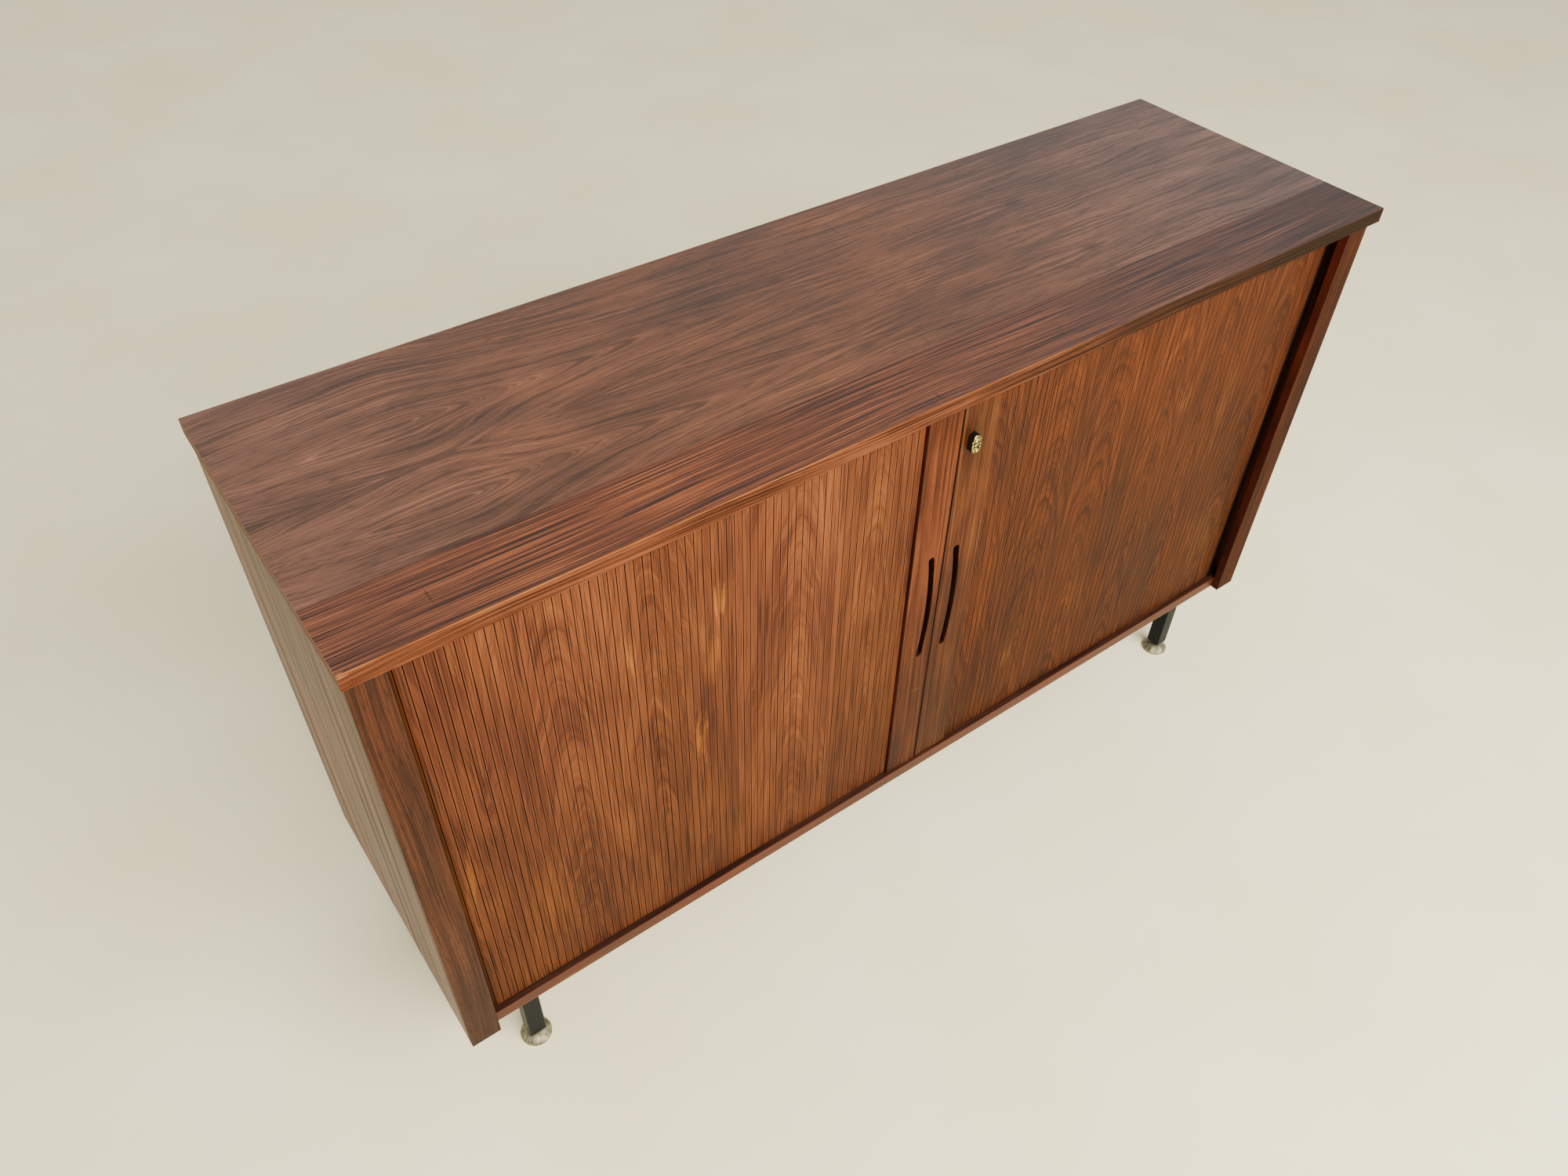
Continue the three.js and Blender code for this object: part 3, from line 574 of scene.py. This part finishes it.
# Flanks that turn away from the light are painted a deep dark red as their shade. The walls of
# the finger slots are painted nearly black, as old oil and dust and as the shade inside them.
shaded_rosewood = rosewood(
    "painted_shade_rosewood_flank", ("#160402", "#2d0b05", "#3f1308", "#541e0f", "#642a14"), "ZXY",
    straight(20), sheen=(0.5, 0.6), shine=0.1, seed=16.0)
grime_and_shade_rosewood = rosewood(
    "grime_and_painted_shade_rosewood_edge", ("#0b0403", "#180a06", "#240f09", "#301610", "#40241a"), "ZXY",
    straight(20), sheen=(0.6, 0.7), shine=0.1, seed=15.0)
for side, outward in (("left", -1), ("right", 1)):
    node = f"{side}_outer_side"
    low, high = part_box(node)
    panel = block(f"{side}_veneered_side", low, high)
    face_x = low.x if outward < 0 else high.x
    bevel(panel, side_round, 1, lambda a, b: abs(a.x - face_x) + abs(b.x - face_x) < touch
          and max(a.y, b.y) > low.y + touch)
    fit(panel, node, "case", "side_veneer", side_veneer)
    node = f"{side}_stile"
    low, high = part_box(node)
    stile = block(f"{side}_solid_stile", low, high)
    stile.data.materials.append(stile_woods[side])
    stile.data.materials.append(shaded_rosewood)
    # The inner flank, towards the curtain, is painted deep red as its shade.
    paint(stile, 1, lambda centre, normal: normal.x * outward < -0.9)
    bevel(stile, stile_round, 2, lambda a, b: max(a.y, b.y) < low.y + touch
          or max(abs(a.z - low.z), abs(b.z - low.z)) < touch, 0)
    fit(stile, node, "case", "stile_veneer", stile_woods[side], shaded_rosewood)


# Back, linings and partition
# A thin veneered board, held by two rows of small screws, closes the back. Inside it lie the
# linings that hide the open curtains, and a partition in the middle, all of them in plain
# straight-grained rosewood veneer.

back_round = 0.5 * MM
back_screw_radius = 3 * MM
back_screw_rise = 0.8 * MM
back_screw_inset = 12 * MM
back_screw_count = 6
back_slot_width = 0.8 * MM

# A calm broad figure on the back. The linings have narrower rings, and are paler and yellower
# because they never saw much daylight.
back_veneer = rosewood(
    "oiled_rosewood_back", ("#26110a", "#442012", "#60301b", "#7b4428", "#a8683c"), "ZXY",
    straight(80), shine=0.3, ring=12.0, line=2.6, depths=(0.15, 0.35, 0.3), hair=0.35, seed=17.0)
lining_veneer = rosewood("straight_rosewood_lining", plain_shades, "ZXY", straight(40),
                         shine=0.2, ring=8.0, seed=21.0)
lining_cross = rosewood("straight_rosewood_side_lining", plain_shades, "ZYX", straight(40),
                        shine=0.2, ring=8.0, seed=23.0)
low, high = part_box("outer_back")
back_face = high.y - back_screw_rise
back = block("veneered_back", low, (high.x, back_face, high.z))
bevel(back, back_round, 1, lambda a, b: min(a.y, b.y) > back_face - touch)
fit(back, "outer_back", "case", "back_board", back_veneer)
screw_span = high.x - low.x - 2 * back_screw_inset
for row, z in enumerate((low.z + back_screw_inset, high.z - back_screw_inset)):
    for number in range(back_screw_count):
        head = turned(f"back_screw_{row}_{number}", (0, 0), [
            (back_screw_radius, 0), (back_screw_radius, back_screw_rise * 0.3),
            (back_screw_radius * 0.75, back_screw_rise * 0.85),
            (back_screw_radius * 0.4, back_screw_rise)], 20)
        cut_away(head, block(
            "slot", (-back_screw_radius * 2, -back_slot_width / 2, back_screw_rise * 0.4),
            (back_screw_radius * 2, back_slot_width / 2, back_screw_rise * 2)))
        bpy.context.view_layer.objects.active = head
        head.select_set(True)
        # Each slot was left at its own angle.
        slot_angle = math.radians(20 + 37 * number + 11 * row)
        head.rotation_euler = (-math.pi / 2, slot_angle, 0)
        x = low.x + back_screw_inset + screw_span * number / (back_screw_count - 1)
        head.location = (x, back_face, z)
        bpy.ops.object.transform_apply(location=True, rotation=True, scale=True)
        fit(head, None, "case", "fitting_steel", zinc)
for node, finish in (("inner_back", lining_veneer), ("centre_partition", lining_cross),
                     ("left_inner_side", lining_cross), ("right_inner_side", lining_cross)):
    cad[node].data.materials.clear()
    cad[node].data.materials.append(finish)


# Shelves and pins
# One veneered shelf lies in each compartment on four steel pins. Its front edge has a lipping
# with a softened arris.

shelf_round = 0.8 * MM

# The shelves' veneer is that of the linings, with its grain along the width and a little more
# shine from things slid over it.
shelf_veneer = rosewood("straight_rosewood_shelf", plain_shades, "XYZ", straight(50),
                        shine=0.3, ring=8.0, seed=27.0)
for side in ("left", "right"):
    node = f"{side}_shelf"
    low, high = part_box(node)
    shelf = block(f"{side}_veneered_shelf", low, high)
    shelf.data.materials.append(shelf_veneer)
    shelf.data.materials.append(lipping_wood)
    paint(shelf, 1, lambda centre, normal: normal.y < -0.9)
    bevel(shelf, shelf_round, 2,
          lambda a, b: max(a.y, b.y) < low.y + touch and abs(a.z - b.z) < touch, 1)
    fit(shelf, node, "case", "shelf_board", shelf_veneer, lipping_wood)
    for number in range(1, 5):
        pin = cad[f"{side}_shelf_pin_{number}"]
        pin.data.materials.clear()
        pin.data.materials.append(zinc)


# Top
# A 20 mm board faced with two book-matched leaves of rosewood, whose flames meet on the middle
# line, and a redder straight-grained leaf along the front. Its edges are lipped, and the arris is
# rubbed pale and carries a painted highlight.

leaf_joint = -128.5
match_line = 5.0
eye_across = 72.0
eye_along = -565.0
eye_round = 45.0
eye_open = 0.4
crest_round = 60.0
flame_depth = 73.0
flame_length = 140.0
flame_sway = 34.0


def book_match(tree, grain, across):
    """Rings of two mirrored flat-cut leaves: an eye at the left, drawn out to the right."""
    offset = add(tree, "Math", {0: across, 1: match_line}, operation="SUBTRACT")
    mirrored = add(tree, "Math", {0: offset}, operation="ABSOLUTE")
    sway = add(tree, "TexNoise", {
        "Vector": add(tree, "Mapping", {"Vector": add(tree, "CombineXYZ", {0: grain, 1: mirrored}),
                                        "Scale": (1 / 230, 1 / 60, 1)}),
        "Scale": 1.0, "Detail": 3.0})
    swayed = add(tree, "Math", {0: sway, 1: flame_sway, 2: mirrored}, operation="MULTIPLY_ADD")
    from_eye = add(tree, "Math", {0: swayed, 1: eye_across + flame_sway / 2}, operation="SUBTRACT")
    rounded = add(tree, "Math", {0: from_eye, 1: from_eye, 2: crest_round},
                  operation="MULTIPLY_ADD")
    width = add(tree, "Math", {0: rounded}, operation="SQRT")
    along_eye = add(tree, "Math", {0: grain, 1: eye_along}, operation="SUBTRACT")
    opened = add(tree, "Math", {0: along_eye, 1: eye_open}, operation="MULTIPLY")
    past_eye = add(tree, "Math", {0: along_eye, 1: opened}, operation="MAXIMUM")
    softened = add(tree, "Math", {0: past_eye, 1: past_eye, 2: eye_round ** 2},
                   operation="MULTIPLY_ADD")
    away = add(tree, "Math", {0: softened}, operation="SQRT")
    lengths = add(tree, "Math", {0: away, 1: -flame_length}, operation="DIVIDE")
    fall = add(tree, "Math", {0: math.e, 1: lengths}, operation="POWER")
    closed = add(tree, "Math", {0: fall, 1: -flame_depth, 2: flame_depth}, operation="MULTIPLY_ADD")
    return add(tree, "Math", {0: width, 1: closed}, operation="ADD")


# Wavy flames with knots along the match line on the main leaves, with painted light that falls
# off towards the right and a painted grey reflection at the right end. The front leaf is redder,
# straight and dense, and grows darker towards both ends, partly its own tone and partly painted
# light. Both have a few dark scratches, and the front corner at the left is rubbed pale.
top_veneer = rosewood(
    "book_matched_rosewood_top", ("#23150a", "#452a1a", "#623b25", "#835232", "#94633a"), "XYZ",
    book_match, sheen=(0.36, 0.46), shine=0.3, ring=10.0, line=1.9, depths=(0.15, 0.4, 0.3),
    hair=0.55, vein=0.25, pore=0.6,
    stained=((30, -655, 5, 9, 0.6), (-20, -655, 5, 9, 0.6), (95, -62, 9, 22, 0.45),
             (-85, -62, 9, 22, 0.45), (60, 30, 5, 30, 0.4), (-50, 30, 5, 30, 0.4),
             (155, 79, 22, 1.8, 0.6)),
    light_and_tone_ramps=((0, -500, 100, 0.8, 1.0), (0, 0, 750, 0.93, 0.78), (0, -350, -750, 0.95, 0.91)),
    seed=31.0)
front_leaf = rosewood(
    "straight_rosewood_front_leaf", ("#1c0d04", "#402012", "#603217", "#834620", "#a26337"), "XYZ",
    straight(30), sheen=(0.36, 0.46), shine=0.3, ring=5.0, line=1.5, depths=(0.15, 1.1, 0.15),
    hair=0.5, vein=0.4, rubbed=((-222, -747, 7, 9, 0.9),),
    stained=((-178, -645, 14, 1.6, 0.8), (-206, -55, 11, 2.0, 0.8)),
    light_and_tone_ramps=((0, -500, 600, 0.45, 0.9), (0, -450, -750, 0.8, 0.95), (0, 480, 750, 0.55, 1.05)),
    seed=34.0)
# The lipping of the edges is pale at the left and dark at the right, partly its own tone and
# partly painted light that falls off towards the right.
edge_lipping = rosewood(
    "oiled_rosewood_top_edge", ("#230f08", "#442211", "#61331d", "#7d482b", "#926948"), "XZY",
    straight(30), shine=0.04, ring=5.0, line=1.8, depths=(0.2, 0.9, 0.4),
    rubbed=((885, -747, 6, 9, 0.9),),
    light_and_tone_ramps=((0, -400, 620, 0.15, 1.0), (0, 250, 600, 1.0, 1.05)), seed=37.0)
top = from_cad("top_panel", "veneered_top")
low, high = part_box("top_panel")
pick(top, "FACE", lambda centre, normal: normal.z > 0.9 and centre.z > high.z - touch)
bpy.ops.mesh.bisect(plane_co=(0, leaf_joint * MM, high.z), plane_no=(0, 1, 0))
bpy.ops.object.mode_set(mode="OBJECT")
for material in (top_veneer, front_leaf, edge_lipping, rubbed_and_highlit_arris):
    top.data.materials.append(material)
paint(top, 1, lambda centre, normal: normal.z > 0.9 and centre.z > high.z - touch
      and centre.y < leaf_joint * MM)
paint(top, 2, lambda centre, normal: abs(normal.z) < 0.1 and (
    abs(centre.x) > high.x - touch or centre.y < low.y + touch or centre.y > high.y - touch))
# The arris facets are rubbed pale and carry a painted highlight.
paint(top, 3, lambda centre, normal: 0.3 < normal.z < 0.9)
fit(top, "top_panel", "case", "top_veneer", top_veneer, front_leaf, edge_lipping, rubbed_and_highlit_arris)


# Tambour curtains
# Narrow rosewood slats, sawn from flat-cut boards and kept in order, are glued side by side to
# a woven linen backing, so that each door bends round the corners. Tongues run in the grooves.

slat_gap = 0.3 * MM
slat_round = 0.35 * MM
tongue_step = 2.5 * MM
tongue_length = 8.5 * MM
linen_thickness = 0.3 * MM
linen_margin = 20 * MM
linen_lap = 0.01 * MM
width_share = 0.962  # of a slat's own place, so that a dark joint shows
width_wander = 0.02


def flat_cut(edge, width, heart, middle):
    """Rings of flat-cut leaves laid side by side and mirrored, in tall arches.

    The first leaf starts at edge and each is as wide as width. heart is how far the arches'
    axis lies from a leaf's edge, and middle the height about which their peaks are spread."""
    sway_width, spread, slenderness = 44.0, 420.0, 0.085

    def figure(tree, grain, across):
        offset = add(tree, "Math", {0: across, 1: edge}, operation="SUBTRACT")
        leaves = add(tree, "Math", {0: offset, 1: width}, operation="DIVIDE")
        number = add(tree, "Math", {0: leaves}, operation="FLOOR")
        inside = add(tree, "Math", {0: offset, 1: width}, operation="PINGPONG")
        leaf = add(tree, "CombineXYZ", {0: inside, 1: grain, 2: number})
        sway = add(tree, "TexNoise", {
            "Vector": add(tree, "Mapping", {"Vector": leaf, "Scale": (1 / 45, 1 / 190, 0.7)}),
            "Scale": 1.0, "Detail": 3.0})
        from_heart = add(tree, "Math", {0: inside, 1: heart + sway_width / 2},
                         operation="SUBTRACT")
        swayed = add(tree, "Math", {0: sway, 1: sway_width, 2: from_heart},
                     operation="MULTIPLY_ADD")
        squared = add(tree, "Math", {0: swayed, 1: swayed}, operation="MULTIPLY")
        chance = add(tree, "TexWhiteNoise", {"W": number}, noise_dimensions="1D")
        peak = add(tree, "Math", {0: chance, 1: spread, 2: middle - spread / 2},
                   operation="MULTIPLY_ADD")
        lean = add(tree, "Math", {0: add(tree, "Math", {0: grain, 1: peak}, operation="SUBTRACT"),
                                  1: slenderness}, operation="MULTIPLY")
        total = add(tree, "Math", {0: lean, 1: lean, 2: squared}, operation="MULTIPLY_ADD")
        return add(tree, "Math", {0: total}, operation="SQRT")
    return figure


# Unbleached linen glued to the backs of the slats: warm grey threads over and under each
# other. A thread is really about 0.7 mm wide and is drawn 1.6 mm wide, so that it shows.
thread_width = 1.6
linen, tree, place = new_material("plain_woven_linen_backing")
parts = add(tree, "SeparateXYZ", {0: place})
warp, weft = (
    add(tree, "Math", {0: add(tree, "Math", {0: parts.outputs[axis], 1: math.pi / thread_width},
                              operation="MULTIPLY")}, operation="SINE")
    for axis in (0, 2))
weave = add(tree, "Math", {0: warp, 1: weft}, operation="MULTIPLY")
slub = add(tree, "TexNoise", {"Vector": place, "Scale": 1 / 25, "Detail": 4.0})
thread = add(tree, "Math", {0: weave, 1: 0.12, 2: slub}, operation="MULTIPLY_ADD")
cloth = add(tree, "ValToRGB", {"Fac": thread}, [(0.35, "#6d5f49"), (0.65, "#a3937a")])
relief = add(tree, "Bump", {"Height": weave, "Strength": 0.4, "Distance": 0.2 * MM})
coated(tree, {"Base Color": cloth, "Roughness": 0.9, "Normal": relief})

# Both doors are cut from arched leaves in warm brown, with dark joints, long pores and places
# rubbed pale by hands. The left one has wider leaves and is paler, the right one is darker. Painted
# shade darkens both towards the bottom, and painted shadows lie on them beside the stiles and the
# right rail.
doors = {
    "left": {
        "shades": ("#200f0c", "#4c2516", "#6c3b1e", "#93552b", "#a25e1e"),
        "figure": flat_cut(-484.0, 156.0, 58.0, 100.0), "seed": 41.0,
        "depths": (0.07, 0.23, 0.26), "seams": (0.6, 1.0),
        "rubbed": ((-340, 715, 14, 60, 0.9), (-372, 500, 14, 80, 0.8), (-352, 640, 24, 130, 0.35),
                   (-456, 690, 10, 80, 0.5), (-682, 470, 20, 90, 0.4), (-590, 330, 80, 200, 0.2)),
        "stained": (),
        # Painted shade darkens the lower slats and a painted shadow lies beside the stile; the
        # slats also grow darker towards the left end, and the sharp steps are the leaves' own
        # tones.
        "light_and_tone_ramps": ((2, 860, 200, 0.62, 1.0), (0, -540, -700, 0.9, 1.0), (0, -692, -702, 0.35, 1.1),
                  (0, -449, -443, 0.87, 1.0), (0, -323, -317, 1.3, 1.0),
                  (0, -168, -162, 0.76, 1.0)),
    },
    "right": {
        "shades": ("#18080b", "#361a0c", "#532911", "#733b16", "#8a5428"),
        "figure": flat_cut(464.0, 111.5, 48.0, 0.0), "seed": 47.0,
        "depths": (0.08, 0.26, 0.17), "seams": (0.4, 1.0),
        "rubbed": ((180, 300, 30, 50, 0.3), (560, 620, 30, 160, 0.2), (460, 660, 20, 40, 0.35),
                   (310, 380, 50, 150, 0.12), (630, 330, 90, 200, 0.2)),
        "stained": ((330, 420, 30, 60, 0.25), (110, 300, 45, 150, 0.35)),
        # Painted shade darkens the lower slats and the right end, the slats behind the stile are
        # painted nearly black as its shadow, and a painted shadow lies beside the rail.
        "light_and_tone_ramps": ((2, 860, 200, 0.74, 1.0), (0, 500, 690, 0.93, 1.0), (0, 690, 699, 0.04, 1.0),
                  (0, 74, 67, 0.35, 1.0)),
    },
}
for side, look in doors.items():
    groups = [f"{side}_front_corner_slat_{n}" for n in (1, 2, 3)] + [f"{side}_side_slats"]
    groups += [f"{side}_back_corner_slat_{n}" for n in (1, 2, 3)] + [f"{side}_back_slats"]
    first_low, first_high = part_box(groups[0])
    pitch = first_high.x - first_low.x + slat_gap
    edge = first_low.x - slat_gap / 2
    slat_wood = rosewood(
        f"sawn_rosewood_slats_{side}", axes="ZXY", sheen=(0.52, 0.62), shine=0.06, ring=6.0,
        line=1.7, hair=0.08, vein=0.1, pore=0.9, pore_start=0.54, pore_length=120.0,
        pitch=(edge / MM, pitch / MM), **look)
    face_low = Vector((first_low.x, first_low.y, first_low.z + tongue_length))
    face_high = Vector((first_high.x, first_high.y, first_high.z - tongue_length))
    slat = block("slat", face_low, face_high)
    tongue_y = first_low.y + tongue_step
    pick(slat, "FACE", lambda centre, normal: True)
    bpy.ops.mesh.bisect(plane_co=(0, tongue_y, 0), plane_no=(0, 1, 0))
    for sign in (1, -1):
        pick(slat, "FACE", lambda centre, normal: normal.z * sign > 0.9 and centre.y > tongue_y)
        bpy.ops.mesh.extrude_region_move(
            TRANSFORM_OT_translate={"value": (0, 0, sign * tongue_length)})
    bevel(slat, slat_round, 2,
          lambda a, b: max(a.y, b.y) < first_low.y + touch and abs(a.x - b.x) < touch)
    for node in groups:
        low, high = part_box(node)
        count = round((high.x - low.x + slat_gap) / pitch)
        parts = []
        for number in range(count):
            twin = copy_to(slat, "slat", (low.x - first_low.x + number * pitch, 0, 0))
            # The slats were sawn by hand, so that their widths and the joints wander a little.
            wander = math.sin(12.9 * (number + 1) + 7.3 * low.x / pitch)
            squeeze = width_share - width_wander * wander
            bpy.ops.object.mode_set(mode="EDIT")
            bpy.ops.mesh.select_all(action="SELECT")
            middle = low.x + number * pitch + (pitch - slat_gap) / 2
            bpy.ops.transform.resize(value=(squeeze, 1, 1), center_override=(middle, 0, 0))
            bpy.ops.object.mode_set(mode="OBJECT")
            parts.append(twin)
        hem = tongue_length + linen_margin
        backing = block(f"slatted_{node}", (low.x, high.y - linen_lap, low.z + hem),
                        (high.x, high.y + linen_thickness, high.z - hem))
        bevel(backing, linen_thickness / 2, 1, lambda a, b: min(a.y, b.y) > high.y)
        backing.data.materials.append(slat_wood)
        backing.data.materials.append(linen)
        paint(backing, 1, lambda centre, normal: True)
        for part in parts:
            part.data.materials.append(slat_wood)
            part.select_set(True)
        backing.select_set(True)
        bpy.context.view_layer.objects.active = backing
        bpy.ops.object.join()
        fit(backing, node, node, f"{side}_slats", slat_wood, linen)
    bpy.data.objects.remove(slat)


# Lead rails
# A solid rosewood rail leads each curtain. A curved slot is routed right through it for the
# fingers, its rim softened by the router and then by use. The arris at the right of each rail
# is rubbed pale and carries a painted highlight, and the flank next to the slats is painted deep
# red as its shade.

slot_round = 0.8 * MM
rail_round = 0.8 * MM
edge_margin = 1 * MM
lock_margin = 2 * MM

# Plain upright rings with soft clouds. Painted shade darkens both rails towards the bottom, and
# the right one also has a dark stain round its lock.
rail_woods = {
    "left": rosewood(
        "solid_rosewood_left_rail", ("#240d01", "#431b0a", "#5b2b14", "#733f1d", "#8a5a34"),
        "ZXY", straight(26), shine=0.06, ring=7.0, depths=(0.3, 0.5, 0.5), hair=0.1, vein=0.0,
        rubbed=((-14, 351, 30, 2.2, 0.8),), light_and_tone_ramps=((2, 640, 330, 0.43, 1.0),), seed=51.0),
    "right": rosewood(
        "solid_rosewood_right_rail", ("#1f0901", "#3a180a", "#512811", "#643a1c", "#8a5a34"),
        "ZXY", straight(30), shine=0.06, ring=8.0, depths=(0.3, 0.5, 0.5), hair=0.1, vein=0.0,
        stained=((30, 790, 34, 90, 0.6),),
        light_and_tone_ramps=((2, 640, 330, 0.6, 1.0), (2, 600, 740, 0.84, 1.0)), seed=57.0),
}
for side in ("left", "right"):
    node = f"{side}_lead_rail"
    low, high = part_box(node)
    slat_edge = low.x if side == "left" else high.x
    rail = from_cad(node, f"solid_{node}")
    for material in (rail_woods[side], grime_and_shade_rosewood, shaded_rosewood, rubbed_and_highlit_arris):
        rail.data.materials.append(material)
    # The slot walls and other side faces are painted nearly black, as old oil and dust and as
    # shade, and the flank next to the slats deep red as its shade.
    paint(rail, 1, lambda centre, normal: abs(normal.y) < 0.9)
    paint(rail, 2, lambda centre, normal: abs(normal.x) > 0.9 and abs(centre.x - slat_edge) < touch)
    lock_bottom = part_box("lock_shell")[0].z - lock_margin

    def on_front(a, b):
        return max(a.y, b.y) < low.y + touch

    def outer(a, b):
        from_side = min(abs(a.x - low.x), abs(a.x - high.x))
        return on_front(a, b) and abs(a.x - b.x) < touch and from_side < touch

    def slot_rim(a, b):
        inside = min(a.x, b.x) > low.x + edge_margin and max(a.x, b.x) < high.x - edge_margin
        return on_front(a, b) and inside and max(a.z, b.z) < lock_bottom

    bevel(rail, rail_round, 2, outer, 0)
    bevel(rail, slot_round, 2, slot_rim, 0)
    # The right arris is rubbed pale and carries a painted highlight.
    paint(rail, 3, lambda centre, normal: 0.3 < normal.x < 0.95 and centre.x > high.x - edge_margin)
    fit(rail, node, f"{side}_door", "rail_wood", rail_woods[side], grime_and_shade_rosewood,
        shaded_rosewood, rubbed_and_highlit_arris)


# Lock
# A brass cylinder with an oblong face stands out of the right rail. Its plug turns with the key
# and throws a steel bolt into the keeper of the other rail.

face_round = 1.2 * MM
rim_width = 0.4 * MM
rim_height = 0.5 * MM
outline_margin = 0.5 * MM
plug_front = 2 * MM

# Turned brass that hands have tarnished: a greyish yellow metal with dark dirt in blotches of
# about 3 mm, and brighter rubbed spots between them.
brass, tree, place = new_material("tarnished_turned_brass")
dirt = add(tree, "TexNoise", {"Vector": place, "Scale": 1 / 3, "Detail": 3.0})
film = add(tree, "ValToRGB", {"Fac": dirt}, [
    (0.42, "#1d170b"), (0.51, "#85753c"), (0.6, "#e2d290")])
gloss = add(tree, "MapRange", {"Value": dirt, 1: 0.35, 2: 0.65, 3: 0.42, 4: 0.2})
relief = add(tree, "Bump", {"Height": dirt, "Strength": 0.3, "Distance": 0.4 * MM})
coated(tree, {"Base Color": film, "Metallic": 1.0, "Roughness": gloss, "Normal": relief})

# The flank of the cylinder is brown-black, with a weak metallic glint.
brown_black_brass, tree, place = new_material("blackened_cast_brass")
crust = add(tree, "TexNoise", {"Vector": place, "Scale": 1 / 2, "Detail": 3.0})
film = add(tree, "ValToRGB", {"Fac": crust}, [(0.4, "#080604"), (0.65, "#1d1710")])
coated(tree, {"Base Color": film, "Metallic": 0.5, "Roughness": 0.5})

shell = from_cad("lock_shell", "brass_lock_shell")
low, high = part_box("lock_shell")
axis = (low + high) / 2
shell.data.materials.append(brass)
shell.data.materials.append(brown_black_brass)
paint(shell, 1, lambda centre, normal: abs(normal.y) < 0.5)
face_radius = (high.x - low.x) / 2
straight_half = (high.z - low.z) / 2 - face_radius


def face_outline(a, b):
    """Edges on the outline of the oblong face: two half circles with a straight part between."""
    reach = min(math.hypot(p.x - axis.x, max(0, abs(p.z - axis.z) - straight_half))
                for p in (a, b))
    return max(a.y, b.y) < low.y + touch and reach > face_radius - outline_margin


bevel(shell, face_round, 3, face_outline, 0)
pick(shell, "FACE", lambda centre, normal: normal.y < -0.99 and centre.y < low.y + touch)
bpy.ops.mesh.inset(thickness=rim_width, depth=-rim_height)
bpy.ops.object.mode_set(mode="OBJECT")
fit(shell, "lock_shell", "right_door", "lock_brass", brass, brown_black_brass)
plug = from_cad("lock_plug", "brass_lock_plug")
low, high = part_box("lock_plug")
plug.data.materials.append(brass)
plug.data.materials.append(brown_black_brass)
paint(plug, 1, lambda centre, normal: abs(normal.y) < 0.5 or centre.y > low.y + plug_front)
fit(plug, "lock_plug", "lock_plug", "lock_brass", brass, brown_black_brass)
for node in ("lock_case", "lock_bolt", "lock_keeper"):
    cad[node].data.materials.clear()
    cad[node].data.materials.append(zinc)


# Floor, light and camera
# A pale concrete floor, a white room and one large soft window in front. The camera's place,
# turn and lens were solved from the cabinet's edges in the photo.

floor_size = 18.0
room_light = 1.0
window_place = (0.1, -2.9, 2.8)
window_aim = (0, 0, 0.5)
window_width, window_height = 3.4, 1.8
window_power = 420
camera_place = (-0.8513, -0.9889, 1.662)
camera_turn = (45.63567, -0.96830, -36.02186)
camera_lens = 27.64
camera_film = 36

bpy.ops.object.select_all(action="DESELECT")
bpy.ops.mesh.primitive_plane_add(size=floor_size, location=(0, 0, 0))
floor = bpy.context.object
floor.name = "pale_floor"
# Concrete smoothed with a trowel: matt and nearly even, with faint warm clouds of 0.4 m.
concrete, tree, place = new_material("pale_trowelled_concrete")
cloud = add(tree, "TexNoise", {"Vector": place, "Scale": 1 / 420, "Detail": 5.0})
tone = add(tree, "ValToRGB", {"Fac": cloud}, [(0.3, "#ebe0ac"), (0.7, "#f4eabf")])
coated(tree, {"Base Color": tone, "Roughness": 0.7})
floor.data.materials.append(concrete)

world = bpy.data.worlds.new("white_room")
bpy.context.scene.world = world
world.use_nodes = True
world.node_tree.nodes["Background"].inputs["Color"].default_value = (1, 1, 1, 1)
world.node_tree.nodes["Background"].inputs["Strength"].default_value = room_light

bpy.ops.object.light_add(type="AREA", location=window_place)
window = bpy.context.object
window.name = "soft_window"
window.data.shape = "RECTANGLE"
window.data.size, window.data.size_y = window_width, window_height
window.data.energy = window_power
window.rotation_euler = (Vector(window_aim) - window.location).to_track_quat("-Z", "Y").to_euler()

bpy.ops.object.camera_add(location=camera_place, rotation=[math.radians(a) for a in camera_turn])
camera = bpy.context.object
camera.data.lens = camera_lens
camera.data.sensor_width = camera_film
bpy.context.scene.camera = camera
